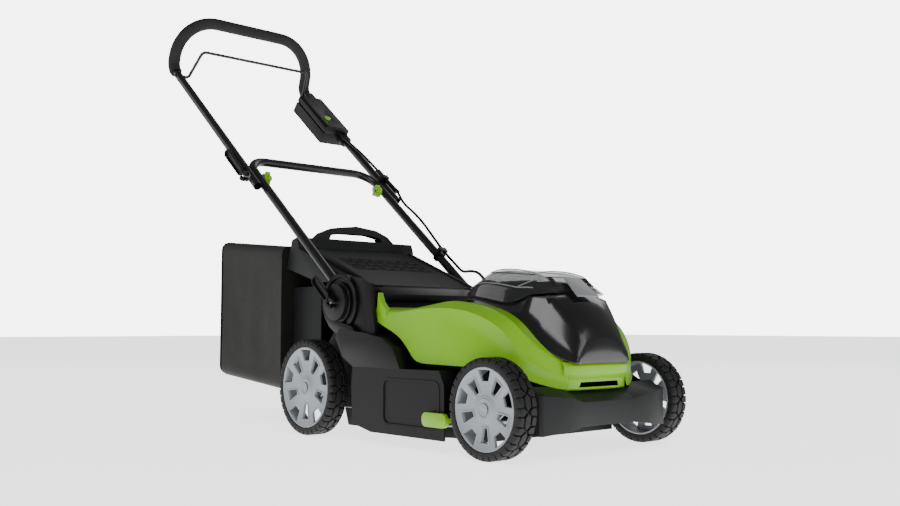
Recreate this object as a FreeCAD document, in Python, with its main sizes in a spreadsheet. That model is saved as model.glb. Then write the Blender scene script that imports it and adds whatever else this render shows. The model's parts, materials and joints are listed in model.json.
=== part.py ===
"""Battery lawn mower: a parametric document, in millimetres.

+X is forward, +Z is up and the mower's right side is -Y. The origin lies on the ground under the middle of
the machine. Most pieces are drawn from the front axle, at x = front_axle_x, and the pieces round the
rear wheels and the handle's pivot are drawn from the rear axle, one wheelbase behind it.
"""
import FreeCAD, Part
import math
import os
import re
import Sketcher
from FreeCAD import Placement, Rotation, Vector

SIZES = {
    # wheels
    "front_axle_x": 586.7, "wheelbase": 552.4,
    "front_wheel_radius": 89, "rear_wheel_radius": 101.5,
    "tyre_depth": 16, "tyre_width": 44, "tread_shoulder": 5, "wheel_inner_y": 191.5,
    "rim_wall": 3.5, "rim_web": 5, "rim_dish": 6, "hub_radius": 20, "spoke_count": 5,
    # cranked axles that set the height of cut
    "axle_radius": 6, "crank_length": 45, "crank_angle": 37.7, "crank_arm": 5, "crank_inner_y": 178,
    "crank_arm_half": 8, "running_gap": 0.05, "nut_radius": 10, "nut_length": 5,
    "link_reach": 38, "link_radius": 2.6, "link_outer_y": 216.3, "lug_half": 6,
    "lug_pin_radius": 3, "eye_thick": 4.8, "eye_radius": 6.5, "open_pivot_gap": 0.5, "strap_half": 4,
    "lever_reach": 66, "knob_length": 66, "knob_height": 26, "knob_out_y": 234.5, "cover_gap": 1.2,
    # deck
    "deck_low": 24, "deck_half_width": 175, "deck_wall": 4, "deck_front": 38, "deck_rear": 60,
    "deck_top": 158, "chamber_radius": 207, "chamber_wall": 3, "chamber_roof": 106, "roof_wall": 4,
    "blade_x": -260, "tunnel_half_width": 168, "tunnel_floor": 92, "tunnel_top": 296,
    "cover_half_width": 225, "cover_wall": 3, "cover_top": 150, "cover_front": -112,
    "tower_inner_y": 201, "tower_outer_y": 212,
    # handle pivot
    "pivot_forward": 102.4, "pivot_z": 281, "ring_radius": 59, "ring_depth": 4, "boss_radius": 38,
    "boss_out_y": 231, "bolt_radius": 4, "fold_bolt_radius": 3, "cross_pin_radius": 2,
    "fork_gap": 9, "saddle_thick": 1.5, "saddle_radius": 13, "knuckle_radius": 16,
    "cam_radius": 8, "cam_length": 22,
    "lever_thick": 9, "lever_wide": 22, "pivot_lever_length": 84, "fold_lever_length": 112,
    # handle tubes
    "tube_radius": 10.5, "tube_wall": 1.5, "leg_y": 189.5, "upper_leg_y": 211, "handle_angle": 39.2,
    "leg_start": 62, "fold_distance": 487.6, "crossbar_distance": 568, "crossbar_bend": 55,
    "upper_tail": 42, "upper_angle": 39.4, "upper_length": 556, "grip_rise": 140, "grip_lean": 18.7,
    "grip_corner": 108, "kink_bend": 36, "foam_radius": 16, "foam_overlap": 26,
    "knob_radius": 17, "knob_width": 16,
    # bail and switch box
    "bail_radius": 4, "bail_distance": 507, "bail_leg_y": 184, "bail_half_width": 168,
    "bail_forward": 52, "bail_up": 64, "box_start": 288, "box_end": 468, "box_half_height": 27,
    "box_inner_y": 146, "box_split": 4, "button_radius": 9, "box_outer_y": 226, "box_tail": 525,
    "button_travel": 4,
    "cable_radius": 3.5,
    # top cover, shroud, lid and batteries
    "shell_wall": 3, "shroud_front": 75.5, "hood_gap": 0.6, "lid_wall": 2.5,
    "ear_y": 60, "ear_width": 6, "ear_radius": 5, "latch_half_width": 42,
    "lid_hinge_x": -212, "lid_hinge_z": 292, "pin_radius": 2.5,
    "battery_length": 118, "battery_width": 66, "battery_height": 54, "battery_rear": -166,
    "battery_middle_gap": 3.5, "battery_deck": 14,
    "battery_floor": 262, "battery_gap": 6, "tray_height": 14, "post_size": 40,
    "retainer_y": 120, "retainer_width": 14, "retainer_half": 11, "motor_radius": 48, "motor_top": 222,
    "shaft_radius": 7, "blade_length": 406, "blade_width": 50, "blade_thick": 3.5,
    "blade_z": 31, "holder_radius": 26,
    # rear flap and grass bag
    "flap_half_width": 148, "flap_hinge_x": -428, "flap_hinge_z": 309, "flap_slope": 21.3,
    "flap_length": 262, "flap_thick": 5, "bag_half_width": 185, "bag_rear": -1022, "bag_front": -728,
    "bag_wall": 3, "bag_top_half_width": 171, "bag_neck_half_width": 150, "bag_low_rear": 111,
    "bag_low_front": 84, "bag_high_rear": 446, "bag_high_front": 418, "bag_corner": 24,
    "neck_front": -616, "neck_low": 100, "neck_high": 322, "arch_top": 473, "barrel_half_width": 120,
}

doc = FreeCAD.newDocument("lawn_mower")
sheet = doc.addObject("Spreadsheet::Sheet", "dims")
for row, (alias, number) in enumerate(SIZES.items(), 1):
    sheet.set("A%d" % row, alias)
    sheet.set("B%d" % row, str(number))
    sheet.setAlias("B%d" % row, alias)
doc.recompute()

SIDES = (("right", -1), ("left", 1))
PIECES = []


def size(alias):
    """The number that the sheet holds for a size."""
    return float(sheet.get(alias))


def expression(text):
    """Turns plain size names into references to the sheet."""
    def named(match):
        word = match.group()
        return "dims." + word if word in SIZES else word
    return re.sub(r"[a-z][a-z0-9_]*", named, str(text))


def bind(item, **sizes):
    """Ties properties of an object to expressions; two underscores stand for a dot."""
    for prop, text in sizes.items():
        item.setExpression(prop.replace("__", "."), expression(text))


def keep(item, label):
    """Names a finished sub-part."""
    item.Label = label
    PIECES.append(item)
    return item


def place(item, x="0", y="0", z="0", turn=None):
    """Binds an object's place, with an optional fixed (axis, angle) turn."""
    if turn:
        item.Placement = Placement(Vector(), Rotation(Vector(*turn[0]), turn[1]))
    bind(item, Placement__Base__x=x, Placement__Base__y=y, Placement__Base__z=z)
    return item


# Part primitives and booleans

TO_Y = ((1, 0, 0), -90)
TO_X = ((0, 1, 0), 90)


def cylinder(radius, length, x="0", y="0", z="0", turn=None):
    item = doc.addObject("Part::Cylinder", "rod")
    bind(item, Radius=radius, Height=length)
    return place(item, x, y, z, turn)


def block(length, width, height, x="0", y="0", z="0", turn=None):
    item = doc.addObject("Part::Box", "block")
    bind(item, Length=length, Width=width, Height=height)
    return place(item, x, y, z, turn)


def fused(items, name="joined"):
    item = doc.addObject("Part::MultiFuse", name)
    item.Shapes = items
    item.Refine = True
    return item


def cut(base, tools, name="cut"):
    tool = tools[0] if len(tools) == 1 else fused(tools, name + "_tools")
    item = doc.addObject("Part::Cut", name)
    item.Base = base
    item.Tool = tool
    item.Refine = True
    return item


def group(items, label):
    """Separate solids that share one node."""
    item = doc.addObject("Part::Compound", "group")
    item.Links = items
    return keep(item, label)


# Part Design bodies

def new_body(label, from_rear=False):
    """A body whose own zero is the front axle's or the rear axle's place, on the ground."""
    item = doc.addObject("PartDesign::Body", label)
    x = "front_axle_x - wheelbase" if from_rear else "front_axle_x"
    bind(item, Placement__Base__x=x)
    return keep(item, label)


def origin_plane(body, role):
    return [item for item in body.Origin.OriginFeatures if item.Role == role][0]


def attach(body, role, offset, turn=0):
    drawing = body.newObject("Sketcher::SketchObject", "outline")
    drawing.AttachmentSupport = [(origin_plane(body, role), "")]
    drawing.MapMode = "FlatFace"
    if turn:
        drawing.AttachmentOffset = Placement(Vector(), Rotation(Vector(0, 0, 1), turn))
    if offset is not None:
        bind(drawing, AttachmentOffset__Base__z=offset)
    return drawing


def pin_point(drawing, edge, end, across, up):
    """Holds a point of a sketch at two expressions measured from its zero."""
    for kind, text in (("DistanceX", across), ("DistanceY", up)):
        index = drawing.addConstraint(Sketcher.Constraint(kind, -1, 1, edge, end, 1.0))
        drawing.setExpression("Constraints[%d]" % index, expression(text))


def polygon(body, role, points, offset=None):
    """A closed sketch of straight edges; each point is a pair of expressions."""
    drawing = attach(body, role, offset)
    count = len(points)
    spots = []
    for index in range(count):
        angle = 2 * math.pi * index / count
        spots.append(Vector(100 * math.cos(angle), 100 * math.sin(angle), 0))
    edges = [Part.LineSegment(spots[i], spots[(i + 1) % count]) for i in range(count)]
    drawing.addGeometry(edges, False)
    for index in range(count):
        drawing.addConstraint(Sketcher.Constraint("Coincident", index, 2, (index + 1) % count, 1))
    for index, (across, up) in enumerate(points):
        pin_point(drawing, index, 1, across, up)
    return drawing


def circle(body, role, across, up, radius, offset=None):
    drawing = attach(body, role, offset)
    drawing.addGeometry(Part.Circle(Vector(0, 0, 0), Vector(0, 0, 1), 10), False)
    pin_point(drawing, 0, 3, across, up)
    index = drawing.addConstraint(Sketcher.Constraint("Radius", 0, 10.0))
    drawing.setExpression("Constraints[%d]" % index, expression(radius))
    return drawing


def pad(body, drawing, length, both=False, back=False):
    item = body.newObject("PartDesign::Pad", "pad")
    item.Profile = drawing
    bind(item, Length=length)
    item.Midplane = both
    item.Reversed = back
    return item


def pocket(body, drawing, length, both=False, back=False):
    item = body.newObject("PartDesign::Pocket", "pocket")
    item.Profile = drawing
    bind(item, Length=length)
    item.Midplane = both
    item.Reversed = back
    return item


def loft(body, kind, role, stations):
    """A ruled loft through (offset, points) stations."""
    drawings = [polygon(body, role, points, offset) for offset, points in stations]
    item = body.newObject("PartDesign::" + kind, "loft")
    item.Profile = drawings[0]
    item.Sections = drawings[1:]
    item.Ruled = True
    return item


def both_sides(half):
    """Mirrors half an outline, given from its low outer point to its top inner point."""
    far = [("-(%s)" % across, up) for across, up in reversed(half) if str(across) != "0"]
    return list(half) + far


def inset(half, wall, low):
    """Half an outline moved in by a wall at the sides and the top, and down to an open low edge."""
    moved = []
    for index, (across, up) in enumerate(half):
        side = "%s - (%s)" % (across, wall) if str(across) != "0" else "0"
        top = low if index == 0 else "%s - (%s)" % (up, wall)
        moved.append((side, top))
    return moved


# Bent tubes

def bent_path(points, radii):
    """A wire of straight runs joined by tangent arcs; radii has one value for each inner point."""
    edges = []
    start = points[0]
    for before, corner, after, radius in zip(points, points[1:], points[2:], radii):
        inward = (before - corner).normalize()
        outward = (after - corner).normalize()
        turn = math.pi - inward.getAngle(outward)
        tangent = radius * math.tan(turn / 2)
        first = corner + inward * tangent
        last = corner + outward * tangent
        middle_way = (inward + outward).normalize()
        middle = corner + middle_way * (radius / math.cos(turn / 2) - radius)
        edges.append(Part.LineSegment(start, first).toShape())
        edges.append(Part.Arc(first, middle, last).toShape())
        start = last
    edges.append(Part.LineSegment(start, points[-1]).toShape())
    return Part.Wire(edges)


def swept(points, radii, radius):
    """A round bar of one radius along a bent path."""
    path = bent_path(points, radii)
    way = points[1] - points[0]
    ring = Part.Wire([Part.Circle(points[0], way, radius).toShape()])
    return path.makePipeShell([ring], True, False)


def feature(label, shape):
    item = doc.addObject("Part::Feature", label)
    item.Shape = shape
    return keep(item, label)


def cord_radii(label, points):
    """Arc radii as large as the runs allow; prints them."""
    radii = []
    for before, corner, after in zip(points, points[1:], points[2:]):
        inward = before - corner
        outward = after - corner
        turn = math.pi - inward.getAngle(outward)
        shorter = min(inward.Length, outward.Length)
        radii.append(0.45 * shorter / math.tan(turn / 2))
    print(label, "radii", [round(r, 1) for r in radii])
    return radii


# Wheels

def tyre(label, side, from_rear, radius, height):
    """A solid rubber ring with sloping shoulders, turned about the wheel's axis."""
    body = new_body(label, from_rear)
    inner = "wheel_inner_y" if side > 0 else "-wheel_inner_y - tyre_width"
    bind(body, Placement__Base__z=height, Placement__Base__y=inner)
    bore = "%s - tyre_depth" % radius
    points = [
        (bore, "0"),
        ("%s - tread_shoulder" % radius, "0"),
        (radius, "tread_shoulder"),
        (radius, "tyre_width - tread_shoulder"),
        ("%s - tread_shoulder" % radius, "tyre_width"),
        (bore, "tyre_width"),
    ]
    drawing = polygon(body, "XY_Plane", points)
    ring = body.newObject("PartDesign::Revolution", "ring")
    ring.Profile = drawing
    ring.ReferenceAxis = (drawing, ["V_Axis"])
    ring.Angle = 360
    return body


def rim(label, side, from_rear, radius, height):
    """A dished plastic wheel centre with a hub tube and five windows."""
    body = new_body(label, from_rear)
    inner = "wheel_inner_y" if side > 0 else "-wheel_inner_y"
    bind(body, Placement__Base__z=height, Placement__Base__y=inner)
    way = "" if side > 0 else "-"

    def across(depth):
        return "%s(%s)" % (way, depth)

    seat = "%s - tyre_depth" % radius
    bore = "axle_radius + running_gap"
    face = "tyre_width - rim_dish"
    points = [
        (bore, across("0")),
        ("hub_radius", across("0")),
        ("hub_radius", across(face + " - rim_web")),
        ("%s - rim_wall" % seat, across(face + " - rim_web")),
        ("%s - rim_wall" % seat, across("2")),
        (seat, across("2")),
        (seat, across("tyre_width")),
        ("%s - rim_wall" % seat, across("tyre_width")),
        ("%s - rim_wall - 2" % seat, across(face)),
        (bore, across(face)),
    ]
    drawing = polygon(body, "XY_Plane", points)
    dish = body.newObject("PartDesign::Revolution", "dish")
    dish.Profile = drawing
    dish.ReferenceAxis = (drawing, ["V_Axis"])
    dish.Angle = 360
    window = polygon(body, "XZ_Plane", [
        ("-9", "hub_radius + 10"), ("9", "hub_radius + 10"),
        ("14", "%s - rim_wall - 9" % seat), ("-14", "%s - rim_wall - 9" % seat)])
    opening = pocket(body, window, "4 * tyre_width", both=True)
    ring = body.newObject("PartDesign::PolarPattern", "windows")
    ring.Originals = [opening]
    ring.Axis = (origin_axis(body, "Y_Axis"), [""])
    ring.Angle = 360
    bind(ring, Occurrences="spoke_count")
    body.Tip = ring
    return body


def origin_axis(body, role):
    return [item for item in body.Origin.OriginFeatures if item.Role == role][0]


FRONT = "front_axle_x"
REAR = "front_axle_x - wheelbase"
for place_name, from_rear, radius in (("front", False, "front_wheel_radius"),
                                      ("rear", True, "rear_wheel_radius")):
    for side_name, side in SIDES:
        tyre("tyre_%s_%s" % (place_name, side_name), side, from_rear, radius, radius)
        rim("rim_%s_%s" % (place_name, side_name), side, from_rear, radius, radius)


# Cranked axles, link rod and height lever

CRANK_X = "crank_length * cos(crank_angle)"
CRANK_Z = "crank_length * sin(crank_angle)"


def cranked_axle(label, wheel_x, wheel_z):
    """A bar across the deck with an arm and a stub for the wheel at each end."""
    bar_x = "%s - (%s)" % (wheel_x, CRANK_X)
    bar_z = "%s - (%s)" % (wheel_z, CRANK_Z)
    items = [cylinder("axle_radius", "2 * crank_inner_y", bar_x, "-crank_inner_y", bar_z, TO_Y)]
    for side_name, side in SIDES:
        low = "crank_inner_y" if side > 0 else "-crank_inner_y - crank_arm"
        for x, z in ((bar_x, bar_z), (wheel_x, wheel_z)):
            items.append(cylinder("crank_arm_half", "crank_arm", x, low, z, TO_Y))
        arm = block("crank_length", "crank_arm", "2 * crank_arm_half")
        arm.Placement = Placement(Vector(), Rotation(Vector(0, 1, 0), -size("crank_angle")))
        bind(arm, Placement__Rotation__Angle="crank_angle")
        arm.setExpression("Placement.Rotation.Axis.y", "-1")
        bind(arm,
             Placement__Base__x="%s + crank_arm_half * sin(crank_angle)" % bar_x,
             Placement__Base__y=low,
             Placement__Base__z="%s - crank_arm_half * cos(crank_angle)" % bar_z)
        items.append(arm)
        reach = "wheel_inner_y + tyre_width - crank_inner_y - rim_dish + nut_length"
        start = "crank_inner_y" if side > 0 else "-crank_inner_y - (%s)" % reach
        items.append(cylinder("axle_radius", reach, wheel_x, start, wheel_z, TO_Y))
    items += link_lug(bar_x, bar_z)
    return keep(fused(items, label), label)


LINK_X = "link_reach * sin(2 * crank_angle)"
LINK_Z = "link_reach * cos(2 * crank_angle)"


def link_lug(bar_x, bar_z):
    """The second arm on the right-hand side, with the pin that the link rod's eye turns on."""
    low = "-crank_inner_y - crank_arm"
    pin_x = "%s + %s" % (bar_x, LINK_X)
    pin_z = "%s - %s" % (bar_z, LINK_Z)
    arm = block("link_reach", "crank_arm", "2 * lug_half")
    arm.Placement = Placement(Vector(), Rotation(Vector(0, 1, 0), 90 - 2 * size("crank_angle")))
    bind(arm, Placement__Rotation__Angle="90 - 2 * crank_angle",
         Placement__Base__x="%s - lug_half * cos(2 * crank_angle)" % bar_x,
         Placement__Base__y=low,
         Placement__Base__z="%s - lug_half * sin(2 * crank_angle)" % bar_z)
    end = cylinder("lug_half", "crank_arm", pin_x, low, pin_z, TO_Y)
    pin = cylinder("lug_pin_radius", "crank_arm + eye_thick + 0.7", pin_x, low + " - eye_thick - 0.7",
                   pin_z, TO_Y)
    return [arm, end, pin]



cranked_axle("front_axle", FRONT, "front_wheel_radius")
cranked_axle("rear_axle", REAR, "rear_wheel_radius")

for place_name, x, z in (("front", FRONT, "front_wheel_radius"), ("rear", REAR, "rear_wheel_radius")):
    nuts = []
    for side_name, side in SIDES:
        face = "wheel_inner_y + tyre_width - rim_dish"
        low = face + " + 0.3" if side > 0 else "-(%s) - nut_length - 0.3" % face
        nut = cylinder("nut_radius", "nut_length", x, low, z, TO_Y)
        hole = cylinder("axle_radius", "3 * nut_length", x, "%s - nut_length" % low, z, TO_Y)
        nuts.append(cut(nut, [hole], "nut"))
    group(nuts, "axle_nuts_" + place_name)


def world(u, y, z):
    """A point measured from the front axle."""
    return Vector(size("front_axle_x") + u, y, z)


def crank_bar(radius_name, behind):
    """The centre of a crank's bar, from the front axle."""
    angle = math.radians(size("crank_angle"))
    u = -behind - size("crank_length") * math.cos(angle)
    z = size(radius_name) - size("crank_length") * math.sin(angle)
    return u, z


front_bar_u, front_bar_z = crank_bar("front_wheel_radius", 0)
rear_bar_u, rear_bar_z = crank_bar("rear_wheel_radius", size("wheelbase"))


def link_pin(u, z):
    """The centre of a crank's link pin, from the centre of its bar."""
    angle = 2 * math.radians(size("crank_angle"))
    return u + size("link_reach") * math.sin(angle), z - size("link_reach") * math.cos(angle)


def link_eye(u, z, hole):
    """A flat eye on the end of the link rod, just outside the crank's second arm."""
    thick = size("eye_thick")
    low = -size("crank_inner_y") - size("crank_arm") - 0.4 - thick
    disc = Part.makeCylinder(size("eye_radius"), thick, world(u, low, z), Vector(0, 1, 0))
    bore = Part.makeCylinder(hole, 3 * thick, world(u, low - thick, z), Vector(0, 1, 0))
    return disc, bore


def link_rod():
    """The rod that makes both cranks turn together; its flat eyes ride on the pins of the second arms."""
    inner = -size("crank_inner_y") - size("crank_arm") - 0.4 - size("eye_thick") / 2
    outer = -size("link_outer_y")
    front_u, front_z = link_pin(front_bar_u, front_bar_z)
    rear_u, rear_z = link_pin(rear_bar_u, rear_bar_z)
    lead = size("eye_radius") - 1
    points = [
        world(front_u - lead, inner, front_z),
        world(front_bar_u - 51, inner, front_z),
        world(front_bar_u - 83, outer, front_z),
        world(front_bar_u - 330, outer, rear_z),
        world(front_bar_u - 364, inner, rear_z),
        world(rear_u + lead, inner, rear_z),
    ]
    rod = swept(points, [14, 14, 14, 14], size("link_radius"))
    front_disc, front_bore = link_eye(front_u, front_z, size("lug_pin_radius") + size("running_gap"))
    rear_disc, rear_bore = link_eye(rear_u, rear_z, size("lug_pin_radius") + size("open_pivot_gap"))
    joined = rod.fuse([front_disc, rear_disc]).cut([front_bore, rear_bore])
    feature("link_rod", joined.removeSplitter())


link_rod()


def height_lever():
    """A strap on the crank, behind the wheel, that carries the green hand knob outside the side cover."""
    u = front_bar_u
    z = front_bar_z
    reach = size("lever_reach")
    inner = -size("crank_inner_y")
    low = inner - size("crank_arm")
    half = size("strap_half")
    strap = Part.makeBox(reach + half, size("crank_arm"), 2 * half, world(u - reach - half, low, z - half))
    hub = Part.makeCylinder(size("crank_arm_half"), 60, world(u, low - 20, z), Vector(0, 1, 0))
    outer = -size("knob_out_y")
    cross = Part.makeBox(2 * half, inner - outer, 2 * half, world(u - reach - half, outer, z - half))
    cover = -size("cover_half_width") - size("cover_gap")
    tall = size("knob_height")
    knob = Part.makeBox(size("knob_length"), cover - outer, tall,
                        world(u - reach + half - size("knob_length"), outer, z - tall / 2))
    ends = [edge for edge in knob.Edges if abs(edge.tangentAt(edge.FirstParameter).y) > 0.99]
    knob = knob.makeFillet(tall / 2.4, ends)
    joined = strap.cut(hub).fuse([cross, knob]).removeSplitter()
    feature("height_lever", joined)


height_lever()


# Deck

def deck_shell():
    body = new_body("deck_shell")
    side_view = polygon(body, "XZ_Plane", [
        ("blade_x + chamber_radius + chamber_wall", "deck_low"),
        ("blade_x + chamber_radius + chamber_wall", "chamber_roof - 31"),
        ("deck_front", "chamber_roof - 31"),
        ("deck_front", "deck_top - 40"),
        ("-36", "deck_top"),
        ("-236", "deck_top"),
        ("-336", "deck_top + 60"),
        ("-376", "tunnel_top - 10"),
        ("-392", "tunnel_top + deck_wall"),
        ("-452", "tunnel_top + deck_wall"),
        ("-wheelbase - deck_rear", "tunnel_floor + 40"),
        ("-wheelbase - deck_rear", "tunnel_floor - deck_wall"),
        ("-wheelbase + 55", "tunnel_floor - deck_wall"),
        ("-wheelbase + 78", "deck_low"),
    ])
    pad(body, side_view, "2 * deck_half_width", both=True)
    drum = circle(body, "XY_Plane", "blade_x", "0", "chamber_radius + chamber_wall", "deck_low")
    pad(body, drum, "chamber_roof + roof_wall - deck_low")
    chamber = circle(body, "XY_Plane", "blade_x", "0", "chamber_radius", "deck_low")
    pocket(body, chamber, "chamber_roof - deck_low", back=True)
    tub = polygon(body, "XZ_Plane", [
        ("-324", "chamber_roof + roof_wall"),
        ("deck_front - deck_wall", "chamber_roof + roof_wall"),
        ("deck_front - deck_wall", "deck_top + 200"),
        ("-384", "deck_top + 200"),
        ("-384", "tunnel_top - 12"),
        ("-346", "deck_top + 46"),
    ])
    pocket(body, tub, "2 * (deck_half_width - deck_wall)", both=True)
    tunnel = polygon(body, "XZ_Plane", [
        ("-330", "deck_low + 20"),
        ("-330", "chamber_roof"),
        ("-356", "deck_top + 46"),
        ("-400", "tunnel_top"),
        ("-wheelbase - deck_rear - 60", "tunnel_top"),
        ("-wheelbase - deck_rear - 60", "tunnel_floor"),
        ("-wheelbase + 62", "tunnel_floor"),
        ("-wheelbase + 88", "deck_low + 20"),
    ])
    pocket(body, tunnel, "2 * tunnel_half_width", both=True)
    wheel_room = polygon(body, "XZ_Plane", [
        ("-wheelbase - deck_rear - 1", "tunnel_floor - deck_wall"),
        ("-wheelbase - deck_rear - 1", "deck_low - 1"),
        ("-wheelbase + 55", "deck_low - 1"),
        ("-wheelbase + 55", "tunnel_floor - deck_wall"),
    ])
    pocket(body, wheel_room, "4 * deck_half_width", both=True)
    shaft_hole = circle(body, "XY_Plane", "blade_x", "0", "shaft_radius + 6", "deck_low")
    pocket(body, shaft_hole, "2 * chamber_roof", back=True)
    return body


deck_shell()


def mirrored_offset(side, low, high):
    """The sketch offset and pad length that fill from |y| = low to high on one side."""
    near = "-(%s)" % low if side > 0 else low
    return near, "%s - (%s)" % (high, low)


def side_pad(body, side, points, low, high):
    offset, length = mirrored_offset(side, low, high)
    return pad(body, polygon(body, "XZ_Plane", points, offset), length, back=side > 0)


def side_pocket(body, side, points, low, high):
    offset, length = mirrored_offset(side, low, high)
    return pocket(body, polygon(body, "XZ_Plane", points, offset), length, back=side < 0)


def side_cover(label, side):
    """The moulded skirt between the wheels: hollow, open below and towards the deck."""
    body = new_body(label)
    outline = [
        ("cover_front", "deck_low"), ("cover_front", "cover_top - 26"),
        ("cover_front - 14", "cover_top"), ("-300", "cover_top"),
        ("-392", "cover_top"), ("-396", "deck_low + 91"), ("-392", "deck_low + 13"),
        ("-330", "deck_low"),
    ]
    side_pad(body, side, outline, "deck_half_width", "cover_half_width")
    room = [
        ("cover_front - cover_wall", "deck_low - 5"), ("cover_front - cover_wall", "cover_top - 27"),
        ("cover_front - cover_wall - 13", "cover_top - cover_wall"),
        ("-389", "cover_top - cover_wall"), ("-393", "deck_low + 91"), ("-390", "deck_low - 5"),
    ]
    side_pocket(body, side, room, "deck_half_width - 1", "cover_half_width - cover_wall")
    slot = [("cover_front + 5", "deck_low - 5"), ("cover_front + 5", "deck_low + 44"),
            ("cover_front - 20", "deck_low + 44"), ("cover_front - 20", "deck_low - 5")]
    side_pocket(body, side, slot, "deck_half_width - 1", "cover_half_width - cover_wall - 0.5")
    back_slot = [("-370", "deck_low - 5"), ("-370", "deck_low + 50"),
                 ("-420", "deck_low + 50"), ("-420", "deck_low - 5")]
    side_pocket(body, side, back_slot, "deck_half_width - 1", "cover_half_width - cover_wall - 0.5")
    panel = [("-128", "deck_low + 22"), ("-128", "deck_low + 104"),
             ("-288", "deck_low + 104"), ("-288", "deck_low + 22")]
    side_pocket(body, side, panel, "cover_half_width - 1", "cover_half_width + 1")
    return body


def side_tower(label, side):
    """The fender in front of the rear wheel and the upright plate that holds the handle's pivot."""
    body = new_body(label)
    fender = [
        ("-392", "cover_top"), ("-428", "169"), ("-454", "209"), ("-440", "226"),
        ("-350", "218"), ("-300", "209"), ("-262", "190"), ("-240", "cover_top"),
    ]
    side_pad(body, side, fender, "deck_half_width", "cover_half_width")
    room = [
        ("-386", "cover_top - 2"), ("-424", "172"), ("-446", "209"), ("-438", "221"),
        ("-350", "214"), ("-302", "205"), ("-266", "186"), ("-246", "cover_top - 2"),
    ]
    side_pocket(body, side, room, "deck_half_width - 1", "cover_half_width - cover_wall")
    plate = [
        ("-454", "209"), ("-470", "226"), ("-462", "332"), ("-438", "336"), ("-386", "330"),
        ("-352", "318"), ("-346", "262"), ("-336", "226"), ("-336", "205"),
    ]
    side_pad(body, side, plate, "tower_inner_y", "tower_outer_y")
    offset, length = mirrored_offset(side, "tower_inner_y", "tower_outer_y + ring_depth")
    ring = circle(body, "XZ_Plane", "-wheelbase + pivot_forward", "pivot_z", "ring_radius", offset)
    pad(body, ring, length, back=side > 0)
    offset, length = mirrored_offset(side, "tower_outer_y", "boss_out_y")
    boss = circle(body, "XZ_Plane", "-wheelbase + pivot_forward", "pivot_z", "boss_radius", offset)
    pad(body, boss, length, back=side > 0)
    offset, length = mirrored_offset(side, "tower_inner_y - 5", "boss_out_y + 5")
    bore = circle(body, "XZ_Plane", "-wheelbase + pivot_forward", "pivot_z", "bolt_radius", offset)
    pocket(body, bore, length, back=side < 0)
    return body


for side_name, side in SIDES:
    side_cover("side_cover_" + side_name, side)
    side_tower("side_tower_" + side_name, side)


def front_bumper():
    """The prow in front of the deck, drawn as sections across the machine."""
    body = new_body("front_bumper")

    def section(offset, low_front, low, top_front, top, back_top):
        return (offset, [
            ("deck_front", low), (low_front, low), (top_front, top),
            ("deck_front + 8", back_top), ("deck_front", back_top)])

    half = [
        ("deck_half_width - 1", "74", "deck_low + 20", "74", "112", "127"),
        ("deck_half_width - 6", "80", "deck_low + 20", "80", "113", "127"),
        ("109", "92", "deck_low + 26", "94", "108", "124"),
        ("72", "86", "deck_low + 31", "87", "98", "119"),
        ("0", "86", "deck_low + 31", "87", "98", "119"),
    ]
    stations = [section(*row) for row in half]
    stations += [section("-(%s)" % row[0], *row[1:]) for row in reversed(half[:-1])]
    loft(body, "AdditiveLoft", "XZ_Plane", stations)
    room = polygon(body, "XZ_Plane", [
        ("deck_front - 1", "deck_low + 34"), ("deck_front + 30", "deck_low + 34"),
        ("deck_front + 30", "92"), ("deck_front - 1", "108")])
    pocket(body, room, "2 * (deck_half_width - 8)", both=True)
    return body


front_bumper()


# Half outlines of the hood, from its low edge to its top, at stations along the machine
HOOD_ROWS = [
    ("-196", [("92", "272"), ("91", "282"), ("84", "290"), ("0", "291")]),
    ("-160", [("114", "276"), ("110", "284"), ("98", "290"), ("0", "291")]),
    ("-112", [("119", "265"), ("116", "274"), ("104", "281"), ("0", "284")]),
    ("-52", [("119", "250"), ("116", "260"), ("104", "268"), ("0", "284")]),
    ("-18", [("116", "222"), ("112", "260"), ("101", "288"), ("0", "290")]),
    ("17", [("108", "194"), ("104", "226"), ("76", "282"), ("0", "292")]),
    ("43", [("98", "178"), ("92", "204"), ("66", "252"), ("0", "274")]),
    ("66", [("84", "168"), ("79", "186"), ("56", "218"), ("0", "236")]),
    ("shroud_front", [("70", "164"), ("66", "174"), ("48", "184"), ("0", "190")]),
]


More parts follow.
